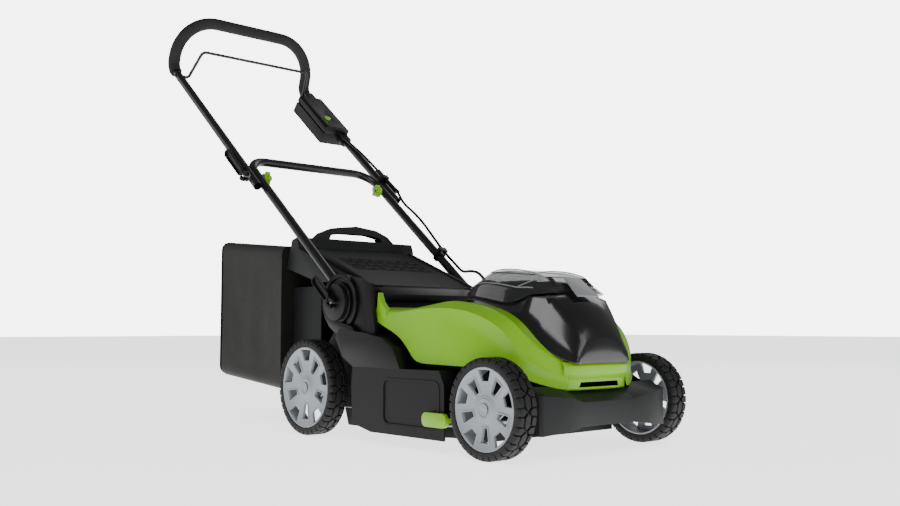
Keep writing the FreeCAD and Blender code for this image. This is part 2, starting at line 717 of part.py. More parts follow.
def top_cover():
    """The green cover over the deck, a thin shell drawn as sections along the machine."""
    body = new_body("top_cover")
    rows = [
        ("-356", "deck_top + 84", [("199", "250"), ("194", "266"), ("182", "270"), ("0", "270")]),
        ("-336", "deck_top + 84", [("200", "236"), ("193", "256"), ("180", "264"), ("0", "266")]),
        ("-276", "deck_top + 50", [("200", "215"), ("191", "254"), ("176", "265"), ("0", "268")]),
        ("-240", "deck_top + 20", [("200", "182"), ("190", "252"), ("174", "265"), ("0", "272")]),
        ("-226", "deck_top", [("200", "162"), ("189", "250"), ("172", "265"), ("0", "276")]),
        ("-152", "deck_top", [("199", "160"), ("187", "252"), ("150", "288"), ("0", "292")]),
        ("-95", "deck_top", [("194", "159"), ("180", "244"), ("146", "272"), ("0", "282")]),
        ("-40", "deck_top", [("184", "158"), ("172", "226"), ("143", "256"), ("0", "266")]),
        ("0", "deck_top - 12", [("168", "150"), ("161", "176"), ("141", "240"), ("0", "250")]),
        ("30", "deck_top - 26", [("141", "134"), ("136", "152"), ("118", "212"), ("0", "222")]),
        ("54", "deck_top - 40", [("92", "119"), ("88", "137"), ("76", "168"), ("0", "172")]),
    ]
    outer = [(x, both_sides(half)) for x, low, half in rows]
    loft(body, "AdditiveLoft", "YZ_Plane", outer)
    inner = []
    for index, (x, low, half) in enumerate(rows):
        at_x = x
        if index == len(rows) - 1:
            at_x = "%s - shell_wall" % x
        inner.append((at_x, both_sides(inset(half, "shell_wall", "%s - 1" % half[0][1]))))
    loft(body, "SubtractiveLoft", "YZ_Plane", inner)
    right = [("%s - hood_gap" % HOOD_ROWS[0][0], "-(%s)" % HOOD_ROWS[0][1][0][0])]
    right += [(x, "-(%s) - hood_gap" % half[0][0]) for x, half in HOOD_ROWS]
    left = [(x, "-(%s)" % y) for x, y in reversed(right)]
    well = polygon(body, "XY_Plane", right + left, "deck_top + 8")
    pocket(body, well, "200", back=True)
    return body


top_cover()


def motor_shroud():
    """The black hood over the motor bay, open at the top where the batteries go in."""
    body = new_body("motor_shroud")
    rows = HOOD_ROWS
    loft(body, "AdditiveLoft", "YZ_Plane", [(x, both_sides(half)) for x, half in rows])
    inner = []
    for index, (x, half) in enumerate(rows):
        at_x = x if index < len(rows) - 1 else "%s - shell_wall" % x
        inner.append((at_x, both_sides(inset(half, "shell_wall", "%s - 1" % half[0][1]))))
    loft(body, "SubtractiveLoft", "YZ_Plane", inner)
    mouth = polygon(body, "XY_Plane", [
        ("battery_rear - battery_gap", "-battery_width - battery_middle_gap - battery_gap"),
        ("battery_rear + battery_length + battery_gap", "-battery_width - battery_middle_gap - battery_gap"),
        ("battery_rear + battery_length + battery_gap", "battery_width + battery_middle_gap + battery_gap"),
        ("battery_rear - battery_gap", "battery_width + battery_middle_gap + battery_gap")], "battery_floor")
    pocket(body, mouth, "100", back=True)
    for side_name, side in SIDES:
        web = [("lid_hinge_x - 2", "lid_hinge_z - 4"), ("-190", "276"), ("-190", "288"),
               ("lid_hinge_x + 5", "lid_hinge_z - 3")]
        side_pad(body, side, web, "ear_y", "ear_y + ear_width")
        offset, length = mirrored_offset(side, "ear_y", "ear_y + ear_width")
        eye = circle(body, "XZ_Plane", "lid_hinge_x", "lid_hinge_z", "ear_radius", offset)
        pad(body, eye, length, back=side > 0)
        bore = circle(body, "XZ_Plane", "lid_hinge_x", "lid_hinge_z", "pin_radius", offset)
        pocket(body, bore, length, back=side < 0)
    return body


def battery_bay():
    """The tray under the hood that the batteries slide down into, on a post from the deck."""
    x = FRONT + " + battery_rear - battery_gap"
    long = "battery_length + 2 * battery_gap"
    half = "battery_width + battery_middle_gap + battery_gap"
    floor = "battery_floor - shell_wall"
    tray = block(long, "2 * (%s)" % half, "tray_height", x, "-(%s)" % half, floor)
    rooms = []
    for side_name, side in SIDES:
        low = "shell_wall / 2" if side > 0 else "-(%s) + shell_wall" % half
        rooms.append(block("%s - 2 * shell_wall" % long, "%s - 1.5 * shell_wall" % half,
                           "2 * tray_height", x + " + shell_wall", low, "battery_floor"))
    post = block("post_size", "post_size", floor + " - chamber_roof - roof_wall",
                 x + " + post_size", "-post_size / 2", "chamber_roof + roof_wall")
    keep(cut(fused([tray, post], "tray"), rooms, "battery_bay"), "battery_bay")


motor_shroud()
battery_bay()

BLADE_X = FRONT + " + blade_x"
TOP_OF_BLADE = "blade_z + blade_thick"


def motor_and_blade():
    """The motor on the chamber's roof, with its shaft, holder, blade and bolt below."""
    roof = "chamber_roof + roof_wall"
    case = cylinder("motor_radius", "motor_top - (%s)" % roof, BLADE_X, "0", roof)
    flange = cylinder("motor_radius + 12", "5", BLADE_X, "0", roof)
    bore = cylinder("shaft_radius + running_gap", "60", BLADE_X, "0", roof + " - 1")
    keep(cut(fused([case, flange], "case"), [bore], "motor"), "motor")
    keep(cylinder("shaft_radius", roof + " + 55 - blade_z", BLADE_X, "0", "blade_z"), "motor_shaft")
    fan = cylinder("holder_radius", "14", BLADE_X, "0", TOP_OF_BLADE)
    collar = cylinder("shaft_radius + 7", "40", BLADE_X, "0", TOP_OF_BLADE)
    hole = cylinder("shaft_radius", "60", BLADE_X, "0", "blade_z")
    keep(cut(fused([fan, collar], "fan"), [hole], "blade_holder"), "blade_holder")
    washer = cylinder("shaft_radius + 6", "2", BLADE_X, "0", "blade_z - 2")
    head = doc.addObject("Part::Prism", "bolt_head")
    head.Polygon = 6
    bind(head, Circumradius="shaft_radius + 3", Height="5")
    place(head, BLADE_X, "0", "blade_z - 7")
    keep(fused([washer, head], "blade_bolt"), "blade_bolt")


def blade():
    """A straight steel bar with a lifted wing behind each cutting tip."""
    body = new_body("blade")
    bar = polygon(body, "XY_Plane", [
        ("blade_x - blade_width / 2", "-blade_length / 2 + 4"),
        ("blade_x + blade_width / 2", "-blade_length / 2"),
        ("blade_x + blade_width / 2", "blade_length / 2 - 4"),
        ("blade_x - blade_width / 2", "blade_length / 2")], "blade_z")
    pad(body, bar, "blade_thick")
    for side in (1, -1):
        edge = "blade_x + (%d) * blade_width / 2" % side
        wing = polygon(body, "XZ_Plane", [
            (edge + " - (%d) * 8" % side, TOP_OF_BLADE + " - 1"),
            (edge + " - (%d) * 4" % side, TOP_OF_BLADE + " - 1"),
            (edge, TOP_OF_BLADE + " + 9"),
            (edge + " - (%d) * 4" % side, TOP_OF_BLADE + " + 9")],
            "(%d) * (blade_length / 2 - 8)" % side)
        pad(body, wing, "62", back=side > 0)
    hole = circle(body, "XY_Plane", "blade_x", "0", "shaft_radius", "blade_z - 5")
    pocket(body, hole, "20", back=True)


motor_and_blade()
blade()


def axle_retainers():
    """Saddles under the deck that hold the two cranked axles, two on each."""
    items = []
    roof = "chamber_roof - 31"
    for wheel_x, wheel_z, top in ((FRONT, "front_wheel_radius", roof),
                                  (REAR, "rear_wheel_radius", "tunnel_floor - deck_wall")):
        bar_x = "%s - (%s)" % (wheel_x, CRANK_X)
        bar_z = "%s - (%s)" % (wheel_z, CRANK_Z)
        for low in ("retainer_y", "-retainer_y - retainer_width"):
            saddle = block("2 * retainer_half", "retainer_width", "%s - (%s) + retainer_half" % (top, bar_z),
                           "%s - retainer_half" % bar_x, low, "%s - retainer_half" % bar_z)
            bore = cylinder("axle_radius + running_gap", "3 * retainer_width", bar_x,
                            "%s - retainer_width" % low, bar_z, TO_Y)
            items.append(cut(saddle, [bore], "saddle"))
    group(items, "axle_retainers")


axle_retainers()


# Handle

PIVOT = Vector(size("front_axle_x") - size("wheelbase") + size("pivot_forward"), 0, size("pivot_z"))


def way(angle):
    """The direction up and back along the handle."""
    return Vector(-math.cos(math.radians(angle)), 0, math.sin(math.radians(angle)))


def square_way(angle):
    """The direction square to the handle, up and forward."""
    return Vector(math.sin(math.radians(angle)), 0, math.cos(math.radians(angle)))


LOWER = way(size("handle_angle"))
LOWER_TOP = square_way(size("handle_angle"))
UPPER = way(size("upper_angle"))
UPPER_TOP = square_way(size("upper_angle"))
FOLD = PIVOT + LOWER * size("fold_distance")


def spot(start, along, top, distance, y, rise=0.0):
    """A point at a distance along the handle, at a place across it and a height off it."""
    point = start + along * distance + top * rise
    return Vector(point.x, y, point.z)


def turned(shape, point, angle):
    """Lays a shape drawn along +X along the handle instead; its +Z ends up facing down and back."""
    shape.Placement = Placement(point, Rotation(Vector(0, 1, 0), 180 + angle))
    return shape


def along_y(radius, low, high, point):
    """A round bar across the machine from one y to another."""
    start, end = min(low, high), max(low, high)
    return Part.makeCylinder(radius, end - start, Vector(point.x, start, point.z), Vector(0, 1, 0))


def tube(points, radii, outer, inner):
    return swept(points, radii, outer).cut(swept(points, radii, inner))


def lower_handle():
    """The lower U of the handle, with a knuckle plugged into each foot."""
    y = size("leg_y")
    start, end = size("leg_start"), size("crossbar_distance")
    points = [
        spot(PIVOT, LOWER, LOWER_TOP, start, -y), spot(PIVOT, LOWER, LOWER_TOP, end, -y),
        spot(PIVOT, LOWER, LOWER_TOP, end, y), spot(PIVOT, LOWER, LOWER_TOP, start, y)]
    radius = size("tube_radius")
    bends = [size("crossbar_bend")] * 2
    pipe = tube(points, bends, radius, radius - size("tube_wall"))
    bore = along_y(size("fold_bolt_radius") + size("running_gap"), -300, 300, FOLD)
    feature("lower_handle", pipe.cut(bore))
    knuckles = []
    for side_name, side in SIDES:
        near, far = y - radius + 0.5, size("tower_inner_y") - 0.5
        eye = along_y(size("knuckle_radius"), side * near, side * far, PIVOT)
        low = min(side * near, side * far)
        bar = Part.makeBox(start, far - near, 2 * radius, Vector(0, 0, -radius))
        bar = turned(bar, Vector(PIVOT.x, low, PIVOT.z), size("handle_angle"))
        plug = Part.makeCylinder(radius - size("tube_wall") - 0.1, 36,
                                 spot(PIVOT, LOWER, LOWER_TOP, start - 6, side * y), LOWER)
        hole = along_y(size("bolt_radius") + size("running_gap"), -300, 300, PIVOT)
        knuckles.append(eye.fuse([bar, plug]).cut(hole).removeSplitter())
    feature("handle_knuckles", Part.makeCompound(knuckles))


def upper_points(tail, first, last):
    """The corners of the upper handle, from one leg's foot over the grip to the other."""
    y = size("upper_leg_y")
    kink = FOLD + UPPER * size("upper_length")
    lean = math.radians(size("grip_lean"))
    top = kink + Vector(math.sin(lean), 0, math.cos(lean)) * size("grip_rise")
    foot = FOLD + UPPER * tail
    half = [Vector(foot.x, first, foot.z), Vector(kink.x, first, kink.z), Vector(top.x, first, top.z)]
    return half + [Vector(point.x, last, point.z) for point in reversed(half)]


def upper_handle():
    """The upper U of the handle, kinked upwards at the foam grip."""
    y = size("upper_leg_y")
    radius = size("tube_radius")
    bends = [size("kink_bend"), size("grip_corner"), size("grip_corner"), size("kink_bend")]
    pipe = tube(upper_points(-size("upper_tail"), -y, y), bends, radius, radius - size("tube_wall"))
    bail = FOLD + UPPER * size("bail_distance")
    bores = [along_y(size("fold_bolt_radius"), -300, 300, FOLD),
             along_y(size("bail_radius") + size("running_gap"), -300, 300, bail)]
    feature("upper_handle", pipe.cut(bores))
    grip = tube(upper_points(size("upper_length") - size("foam_overlap"), -y, y), bends,
                size("foam_radius"), radius)
    feature("foam_grip", grip)


lower_handle()
upper_handle()


def cam_lever(label, side, point, angle, hub_y, length):
    """A forked cam lever lying along the handle; it turns on the cross pin of its bolt."""
    half_fork = size("cam_length") / 2
    hub = Part.makeCylinder(size("cam_radius"), size("cam_length"), Vector(0, 0, -half_fork))
    wide = size("lever_wide")
    thick = size("lever_thick")
    arm = Part.makeBox(length, thick, wide, Vector(0, -thick / 2, -wide / 2))
    corners = [edge for edge in arm.Edges if abs(edge.tangentAt(edge.FirstParameter).y) > 0.99
               and edge.BoundBox.XMin > length / 2]
    arm = arm.makeFillet(wide / 2.2, corners)
    fork = size("fork_gap")
    slot = Part.makeCylinder(size("cam_radius") + 0.5, fork, Vector(0, 0, -fork / 2))
    bore = Part.makeCylinder(size("cross_pin_radius") + size("running_gap"), 60, Vector(0, 0, -30))
    lever = hub.fuse(arm).cut([slot, bore]).removeSplitter()
    feature(label, turned(lever, Vector(point.x, side * hub_y, point.z), angle))


def tee_bolt(side, point, angle, radius, inner_y, hub_y, head_radius, head):
    """A bolt across the machine with a flat head inside and a cross pin for the cam lever outside."""
    shaft = along_y(radius, side * inner_y, side * hub_y, point)
    cap = along_y(head_radius, side * inner_y, side * (inner_y + head), point)
    half = size("cam_length") / 2
    pin = turned(Part.makeCylinder(size("cross_pin_radius"), 2 * half, Vector(0, 0, -half)),
                 Vector(point.x, side * hub_y, point.z), angle)
    return shaft.fuse([cap, pin]).removeSplitter()


def pivots_and_clamps():
    """The quick-release bolts of the handle's pivot and of its fold, with their levers and knobs."""
    radius = size("tube_radius")
    pivot_hub = size("boss_out_y") + size("cam_radius") + 0.3
    saddle_out = size("upper_leg_y") + radius + size("saddle_thick")
    fold_hub = saddle_out + size("cam_radius") + 0.3
    pivot_bolts, fold_bolts, saddles = [], [], []
    for side_name, side in SIDES:
        pivot_bolts.append(tee_bolt(side, PIVOT, size("handle_angle"), size("bolt_radius"),
                                    size("deck_half_width"), pivot_hub, 10, 3.5))
        cam_lever("pivot_lever_" + side_name, side, PIVOT, size("handle_angle"), pivot_hub,
                  size("pivot_lever_length"))
        knob_in = size("leg_y") - radius - 1 - size("knob_width")
        fold_bolts.append(tee_bolt(side, FOLD, size("upper_angle"), size("fold_bolt_radius"),
                                   knob_in - 6, fold_hub, 5, 2))
        cam_lever("fold_lever_" + side_name, side, FOLD, size("upper_angle"), fold_hub,
                  size("fold_lever_length"))
        saddle = along_y(size("saddle_radius"), side * (saddle_out - size("saddle_thick")),
                         side * saddle_out, FOLD)
        saddles.append(saddle.cut(along_y(size("fold_bolt_radius"), -300, 300, FOLD)))
        star_knob("star_knob_" + side_name, side, knob_in)
    feature("pivot_bolts", Part.makeCompound(pivot_bolts))
    feature("fold_bolts", Part.makeCompound(fold_bolts + saddles))


def star_knob(label, side, inner_y):
    """A five-lobed knob on the inner end of the fold bolt."""
    outer_y = inner_y + size("knob_width")
    lobes = []
    for index in range(5):
        angle = math.radians(72 * index)
        offset = Vector(math.cos(angle), 0, math.sin(angle)) * (size("knob_radius") - 5)
        lobes.append(along_y(5, side * (inner_y + 1), side * (outer_y - 5), FOLD + offset))
    core = along_y(size("knob_radius") - 6, side * inner_y, side * outer_y, FOLD)
    bore = along_y(size("fold_bolt_radius") + size("running_gap"), -300, 300, FOLD)
    feature(label, core.fuse(lobes).cut(bore).removeSplitter())


pivots_and_clamps()


def bail_bar():
    """The wire bail that is pulled up to the grip to run the motor; it turns in both legs."""
    hinge = FOLD + UPPER * size("bail_distance")
    top = hinge + Vector(size("bail_forward"), 0, size("bail_up"))
    end_y = size("upper_leg_y") + size("tube_radius") + 3
    leg_y = size("bail_leg_y")
    half = [
        Vector(hinge.x, -end_y, hinge.z), Vector(hinge.x, -leg_y, hinge.z),
        Vector(top.x, -size("bail_half_width"), top.z)]
    points = half + [Vector(point.x, -point.y, point.z) for point in reversed(half)]
    feature("bail_bar", swept(points, [9, 14, 14, 9], size("bail_radius")))


def box_piece(start, end, low_y, high_y, low, high, corner):
    """A block along the left upper leg with rounded long edges."""
    shape = Part.makeBox(end - start, high_y - low_y, high - low,
                         Vector(start, low_y, -high))
    edges = [edge for edge in shape.Edges if abs(edge.tangentAt(edge.FirstParameter).x) > 0.99]
    if corner:
        shape = shape.makeFillet(corner, edges)
    return turned(shape, FOLD, size("upper_angle"))


def switch_box():
    """The two halves of the switch box on the left leg, its start button and the bail's bearing."""
    start, end, tail = size("box_start"), size("box_end"), size("box_tail")
    inner, outer = size("box_inner_y"), size("box_outer_y")
    half = size("box_half_height")
    split = size("box_split")
    y = size("upper_leg_y")
    leg = Part.makeCylinder(size("tube_radius"), 2 * tail, Vector(0, y, 0), Vector(1, 0, 0))
    leg = turned(leg, FOLD, size("upper_angle"))
    base = box_piece(start, end, inner, outer, -half, split, 0)
    collar = Part.makeCylinder(size("tube_radius") + 6, 26, Vector(start - 26, y, 0), Vector(1, 0, 0))
    collar = turned(collar, FOLD, size("upper_angle"))
    bearing = box_piece(end, tail, y - size("tube_radius") - 3, outer, -15, 15, 4)
    bail = along_y(size("bail_radius") + size("running_gap"), -400, 400,
                   FOLD + UPPER * size("bail_distance"))
    feature("switch_box_base", base.fuse([collar, bearing]).cut([leg, bail]).removeSplitter())
    lid = box_piece(start, end, inner, outer, split, half, 8)
    button_spot = spot(FOLD, UPPER, UPPER_TOP, start + 52, inner + 30)
    well_floor = button_spot + UPPER_TOP * (split + 4)
    well = Part.makeCylinder(size("button_radius") + 0.3, 60, well_floor, UPPER_TOP)
    feature("switch_box_top", lid.cut([leg, well]))
    stem = Part.makeCylinder(size("button_radius"), half - split - 4 - size("button_travel") + 4,
                             button_spot + UPPER_TOP * (split + 4 + size("button_travel") + 0.2), UPPER_TOP)
    feature("start_button", stem)


bail_bar()
switch_box()


# Electric cable, from the switch box down the left side of the handle to the motor hood

def cable(label, points):
    """One stretch of the cable as runs and tangent arcs."""
    radii = cord_radii(label, points)
    shape = swept(points, radii, size("cable_radius"))
    feature(label, shape)


def cables():
    """The whole route by its corners, cut in the middle of a run at each fold and pivot of the handle."""
    def up(distance, y, rise):
        return spot(FOLD, UPPER, UPPER_TOP, distance, y, rise)

    def low(distance, y, rise):
        return spot(PIVOT, LOWER, LOWER_TOP, distance, y, rise)

    start = size("box_start")
    stretches = [
        ("cable_upper", [
            up(start - 1.5, 190, 14), up(start - 36, 191, 16), up(start - 78, 200, 17),
            up(start - 126, 208, 17.5), up(start - 174, 211, 17), up(start - 220, 213, 17.5),
            up(start - 252, 213, 17)]),
        ("cable_fold_loop", [up(6, 213, 19), up(-22, 210, 24), low(440, 204, 22)]),
        ("cable_lower", [
            low(404, 198, 19), low(356, 197, 25), low(308, 197, 26), low(260, 196, 22),
            low(206, 195, 17.5), low(178, 195, 17)]),
        ("cable_deck_loop", [
            low(132, 196, 17.5), world(-504, 180, 361), world(-456, 160, 361), world(-406, 132, 356),
            world(-358, 96, 349), world(-310, 60, 339), world(-266, 30, 322), world(-244, 14, 300),
            world(-240, 11, 273.5)]),
    ]
    start_point = None
    for index, (label, points) in enumerate(stretches):
        run = list(points)
        if start_point is not None:
            run.insert(0, start_point)
        if index + 1 < len(stretches):
            start_point = (points[-1] + stretches[index + 1][1][0]) / 2
            run.append(start_point)
        cable(label, run)


cables()


def clips():
    """Black clips that hold the cable to the handle's left leg, one on each U."""
    tube_radius = size("tube_radius")
    cord = size("cable_radius")
    for label, point, y, rise, cable_y, along, angle in (
            ("cable_clip_upper", FOLD + UPPER * 40, size("upper_leg_y"), 17, 213, UPPER, "upper_angle"),
            ("cable_clip_lower", PIVOT + LOWER * 188, size("leg_y"), 17, 195, LOWER, "handle_angle")):
        outer = Part.makeBox(14, 2 * tube_radius + 2, rise + cord + 3 + tube_radius,
                             Vector(0, y - tube_radius, -rise - cord - 3))
        outer = turned(outer, point, size(angle))
        leg = Part.makeCylinder(tube_radius, 60, Vector(point.x, y, point.z) - along * 30, along)
        top = square_way(size(angle))
        middle = Vector(point.x, cable_y, point.z) + top * rise
        lead = Part.makeCylinder(cord + 1.2, 60, middle - along * 30, along)
        feature(label, outer.cut([leg, lead]))


clips()

# Battery lid and batteries

def battery_lid():
    """The smoked clear lid over the batteries, with a hinge barrel along its rear edge."""
    body = new_body("battery_lid")
    rows = [
        ("-206", [("86", "292.6"), ("80", "298"), ("70", "302"), ("0", "305")]),
        ("-160", [("104", "291.4"), ("96", "318"), ("62", "343"), ("0", "346")]),
        ("-95", [("109", "280"), ("100", "312"), ("62", "342"), ("0", "341")]),
        ("-50", [("109", "272"), ("100", "304"), ("62", "335"), ("0", "335")]),
        ("-16", [("101", "292"), ("92", "303"), ("62", "324"), ("0", "328")]),
        ("8", [("84", "293"), ("78", "297"), ("52", "304"), ("0", "308")]),
    ]
    loft(body, "AdditiveLoft", "YZ_Plane", [(x, both_sides(half)) for x, half in rows])
    inner = []
    for index, (x, half) in enumerate(rows):
        at_x = x
        if index == 0:
            at_x = "%s + lid_wall" % x
        if index == len(rows) - 1:
            at_x = "%s - lid_wall" % x
        inner.append((at_x, both_sides(inset(half, "lid_wall", "%s - 1" % half[0][1]))))
    loft(body, "SubtractiveLoft", "YZ_Plane", inner)
    web = polygon(body, "XZ_Plane", [
        ("lid_hinge_x", "lid_hinge_z"), ("lid_hinge_x + 7.5", "lid_hinge_z + 1"),
        ("lid_hinge_x + 7.5", "lid_hinge_z + 7"), ("lid_hinge_x", "lid_hinge_z + 4")])
    pad(body, web, "2 * (ear_y - 1)", both=True)
    barrel = circle(body, "XZ_Plane", "lid_hinge_x", "lid_hinge_z", "ear_radius - 1", "-(ear_y - 1)")
    pad(body, barrel, "2 * (ear_y - 1)")
    bore = circle(body, "XZ_Plane", "lid_hinge_x", "lid_hinge_z", "pin_radius + running_gap", "-ear_y")
    pocket(body, bore, "2 * ear_y", back=True)
    return body


def lid_latch():
    """The grey finger plate on the lid's front slope, hooked over the hood's nose."""
    body = new_body("lid_latch")
    side_view = polygon(body, "XZ_Plane", [
        ("-16", "328.3"), ("-15", "332"), ("10", "312"), ("41", "281.5"), ("39", "279"), ("8.3", "308.3")])
    pad(body, side_view, "2 * latch_half_width", both=True)
    return body


def battery(label, side):
    """One battery pack: a block with a narrower button deck on top."""
    low = "battery_middle_gap" if side > 0 else "-battery_middle_gap - battery_width"
    x = FRONT + " + battery_rear"
    main = block("battery_length", "battery_width", "battery_height - battery_deck", x, low,
                 "battery_floor + 0.2")
    deck = block("battery_length - 16", "battery_width - 14", "battery_height", x + " + 8", low + " + 7",
                 "battery_floor + 0.2")
    keep(fused([main, deck], label), label)


battery_lid()
lid_latch()
for side_name, side in SIDES:
    battery("battery_" + side_name, side)


# Rear flap and grass bag

def flap_point(back, rise):
    """A point of the flap's side view, at a distance back from its hinge and a height off its face."""
    across = "flap_hinge_x - (%s) * cos(flap_slope) + (%s) * sin(flap_slope)" % (back, rise)
    up = "flap_hinge_z + (%s) * sin(flap_slope) + (%s) * cos(flap_slope)" % (back, rise)
    return across, up


def rear_flap():
    """The sloping guard over the discharge mouth, lifted here on the bag; it hinges at its front edge."""
    body = new_body("rear_flap")
    plate = polygon(body, "XZ_Plane", [
        flap_point("7", "3"), flap_point("7", "3 + flap_thick"),
        flap_point("flap_length", "3 + flap_thick"), flap_point("flap_length + 3", "3")])
    pad(body, plate, "2 * flap_half_width", both=True)
    for side_name, side in SIDES:
        rib = [flap_point("10", "3 + flap_thick - 1"), flap_point("16", "3 + flap_thick + 4"),
               flap_point("flap_length - 6", "3 + flap_thick + 4"),
               flap_point("flap_length - 2", "3 + flap_thick - 1")]
        side_pad(body, side, rib, "flap_half_width - 8", "flap_half_width")
    web = polygon(body, "XZ_Plane", [
        flap_point("0", "2"), flap_point("0", "5"), flap_point("9", "8"), flap_point("9", "3")])
    pad(body, web, "2 * barrel_half_width", both=True)
    barrel = circle(body, "XZ_Plane", "flap_hinge_x", "flap_hinge_z", "ear_radius", "-barrel_half_width")
    pad(body, barrel, "2 * barrel_half_width")
    bore = circle(body, "XZ_Plane", "flap_hinge_x", "flap_hinge_z", "pin_radius + running_gap",
                  "-barrel_half_width - 1")
    pocket(body, bore, "2 * barrel_half_width + 2", back=True)
    return body


def hinge_pins():
    """The wire pins of the flap's and the lid's hinges."""
    flap_pin = cylinder("pin_radius", "2 * (barrel_half_width + 8)", FRONT + " + flap_hinge_x",
                        "-barrel_half_width - 8", "flap_hinge_z", TO_Y)
    lid_pin = cylinder("pin_radius", "2 * (ear_y + ear_width)", FRONT + " + lid_hinge_x",
                       "-ear_y - ear_width", "lid_hinge_z", TO_Y)
    group([flap_pin, lid_pin], "hinge_pins")


def hinge_bar():
    """The moulded bar across the deck, behind the green cover, whose ears hold the flap's pin."""
    body = new_body("hinge_bar")
    bar = polygon(body, "XZ_Plane", [
        ("-414", "tunnel_top + deck_wall"), ("-414", "tunnel_top + 17"), ("-396", "tunnel_top + 17"),
        ("-374", "tunnel_top + 2"), ("-374", "tunnel_top - 10"), ("-376", "tunnel_top - 10"),
        ("-392", "tunnel_top + deck_wall")])
    pad(body, bar, "2 * deck_half_width - 30", both=True)
    for side_name, side in SIDES:
        ear = [("flap_hinge_x - 4", "tunnel_top + deck_wall"), ("flap_hinge_x - 5", "flap_hinge_z + 2"),
               ("flap_hinge_x", "flap_hinge_z + 5"), ("-412", "tunnel_top + 17"),
               ("-412", "tunnel_top + deck_wall")]
        side_pad(body, side, ear, "barrel_half_width + 1", "barrel_half_width + 8")
        offset, length = mirrored_offset(side, "barrel_half_width", "barrel_half_width + 9")
        bore = circle(body, "XZ_Plane", "flap_hinge_x", "flap_hinge_z", "pin_radius", offset)
        pocket(body, bore, length, back=side < 0)
    return body


rear_flap()
hinge_pins()
hinge_bar()


def under_flap(back, drop):
    """A point a drop below the flap's underside."""
    return flap_point(back, "3 - (%s)" % drop)


def bag_frame():
    """The bag's hard parts: a top with a carry handle, and the neck between the cloth and the deck."""
    body = doc.addObject("PartDesign::Body", "bag_top")
    bind(body, Placement__Base__x="front_axle_x")
    outline = [
        ("bag_front", "366"), ("-708", "431"), ("-686", "437"), under_flap("flap_length + 10", "-6"),
        under_flap("flap_length + 9", "0.5"), under_flap("62", "0.5"), under_flap("62", "9"),
        ("neck_front + 14", "330")]
    pad(body, polygon(body, "XZ_Plane", outline), "2 * bag_top_half_width", both=True)
    room = [
        ("bag_front + bag_wall", "300"), ("bag_front + bag_wall", "366"), ("-705", "427"), ("-687", "433"),
        under_flap("flap_length + 12", "2"), under_flap("66", "3.5"), under_flap("66", "60")]
    pocket(body, polygon(body, "XZ_Plane", room), "2 * (bag_top_half_width - bag_wall)", both=True)
    arch = polygon(body, "YZ_Plane", [
        ("-128", "425"), ("-96", "452"), ("-60", "466"), ("0", "arch_top"), ("60", "466"), ("96", "452"),
        ("128", "425")], "-716")
    pad(body, arch, "28")
    grip = polygon(body, "YZ_Plane", [
        ("-78", "438"), ("-74", "447"), ("-40", "453"), ("40", "453"), ("74", "447"), ("78", "438")],
        "-720")
    pocket(body, grip, "60", back=True)
    long = "neck_front - bag_front"
    outer = block(long, "2 * bag_neck_half_width", "neck_high - neck_low", FRONT + " + bag_front",
                  "-bag_neck_half_width", "neck_low")
    room = block("2 * (%s)" % long, "2 * (bag_neck_half_width - bag_wall)",
                 "neck_high - neck_low - 2 * bag_wall", FRONT + " + bag_front - (%s) / 2" % long,
                 "-bag_neck_half_width + bag_wall", "neck_low + bag_wall")
    group([body, cut(outer, [room], "neck")], "bag_frame")


def bag_fabric():
    """The grass bag's cloth body: a closed soft shell, open at the front into the neck."""
    body = new_body("bag_fabric")
    outline = [
        ("bag_rear", "bag_low_rear + bag_corner"), ("bag_rear", "bag_high_rear - bag_corner"),
        ("bag_rear + bag_corner", "bag_high_rear"), ("bag_front", "bag_high_front"),
        ("bag_front", "bag_low_front"), ("bag_rear + bag_corner", "bag_low_rear")]
    wall = "bag_wall"
    inner = [
        ("bag_rear + bag_wall", "bag_low_rear + bag_corner"),
        ("bag_rear + bag_wall", "bag_high_rear - bag_corner"),
        ("bag_rear + bag_corner", "bag_high_rear - bag_wall"),
        ("bag_front - bag_wall", "bag_high_front - bag_wall"),
        ("bag_front - bag_wall", "bag_low_front + bag_wall"),
        ("bag_rear + bag_corner", "bag_low_rear + bag_wall")]
    pad(body, polygon(body, "XZ_Plane", outline), "2 * bag_half_width", both=True)
    pocket(body, polygon(body, "XZ_Plane", inner), "2 * (bag_half_width - %s)" % wall, both=True)
    door = polygon(body, "YZ_Plane", [
        ("-bag_neck_half_width + bag_wall", "neck_low + bag_wall"),
        ("bag_neck_half_width - bag_wall", "neck_low + bag_wall"),
        ("bag_neck_half_width - bag_wall", "neck_high - bag_wall"),
        ("-bag_neck_half_width + bag_wall", "neck_high - bag_wall")], "bag_front - 20")
    pocket(body, door, "40", back=True)
    return body


bag_frame()
bag_fabric()

# Checks and files

def finish():
    doc.recompute()
    faults = []
    for item in doc.Objects:
        if "Invalid" in item.State or "Error" in item.State:
            faults.append("%s %s" % (item.Name, item.State))
    for item in PIECES:
        shape = item.Shape
        if shape.isNull() or not shape.isValid() or not shape.Solids:
            faults.append("%s has no valid shape" % item.Label)
    if faults:
        raise RuntimeError("; ".join(faults))
    os.makedirs("parts", exist_ok=True)
    for item in PIECES:
        item.Shape.exportStep("parts/%s.step" % item.Label)
    print(len(PIECES), "sub-parts written")


finish()
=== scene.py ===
"""The looks of a battery lawn mower, laid out as an add-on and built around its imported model."""
import json
import math

import bmesh
import bpy
import numpy as np
from mathutils import Matrix, Quaternion, Vector, noise

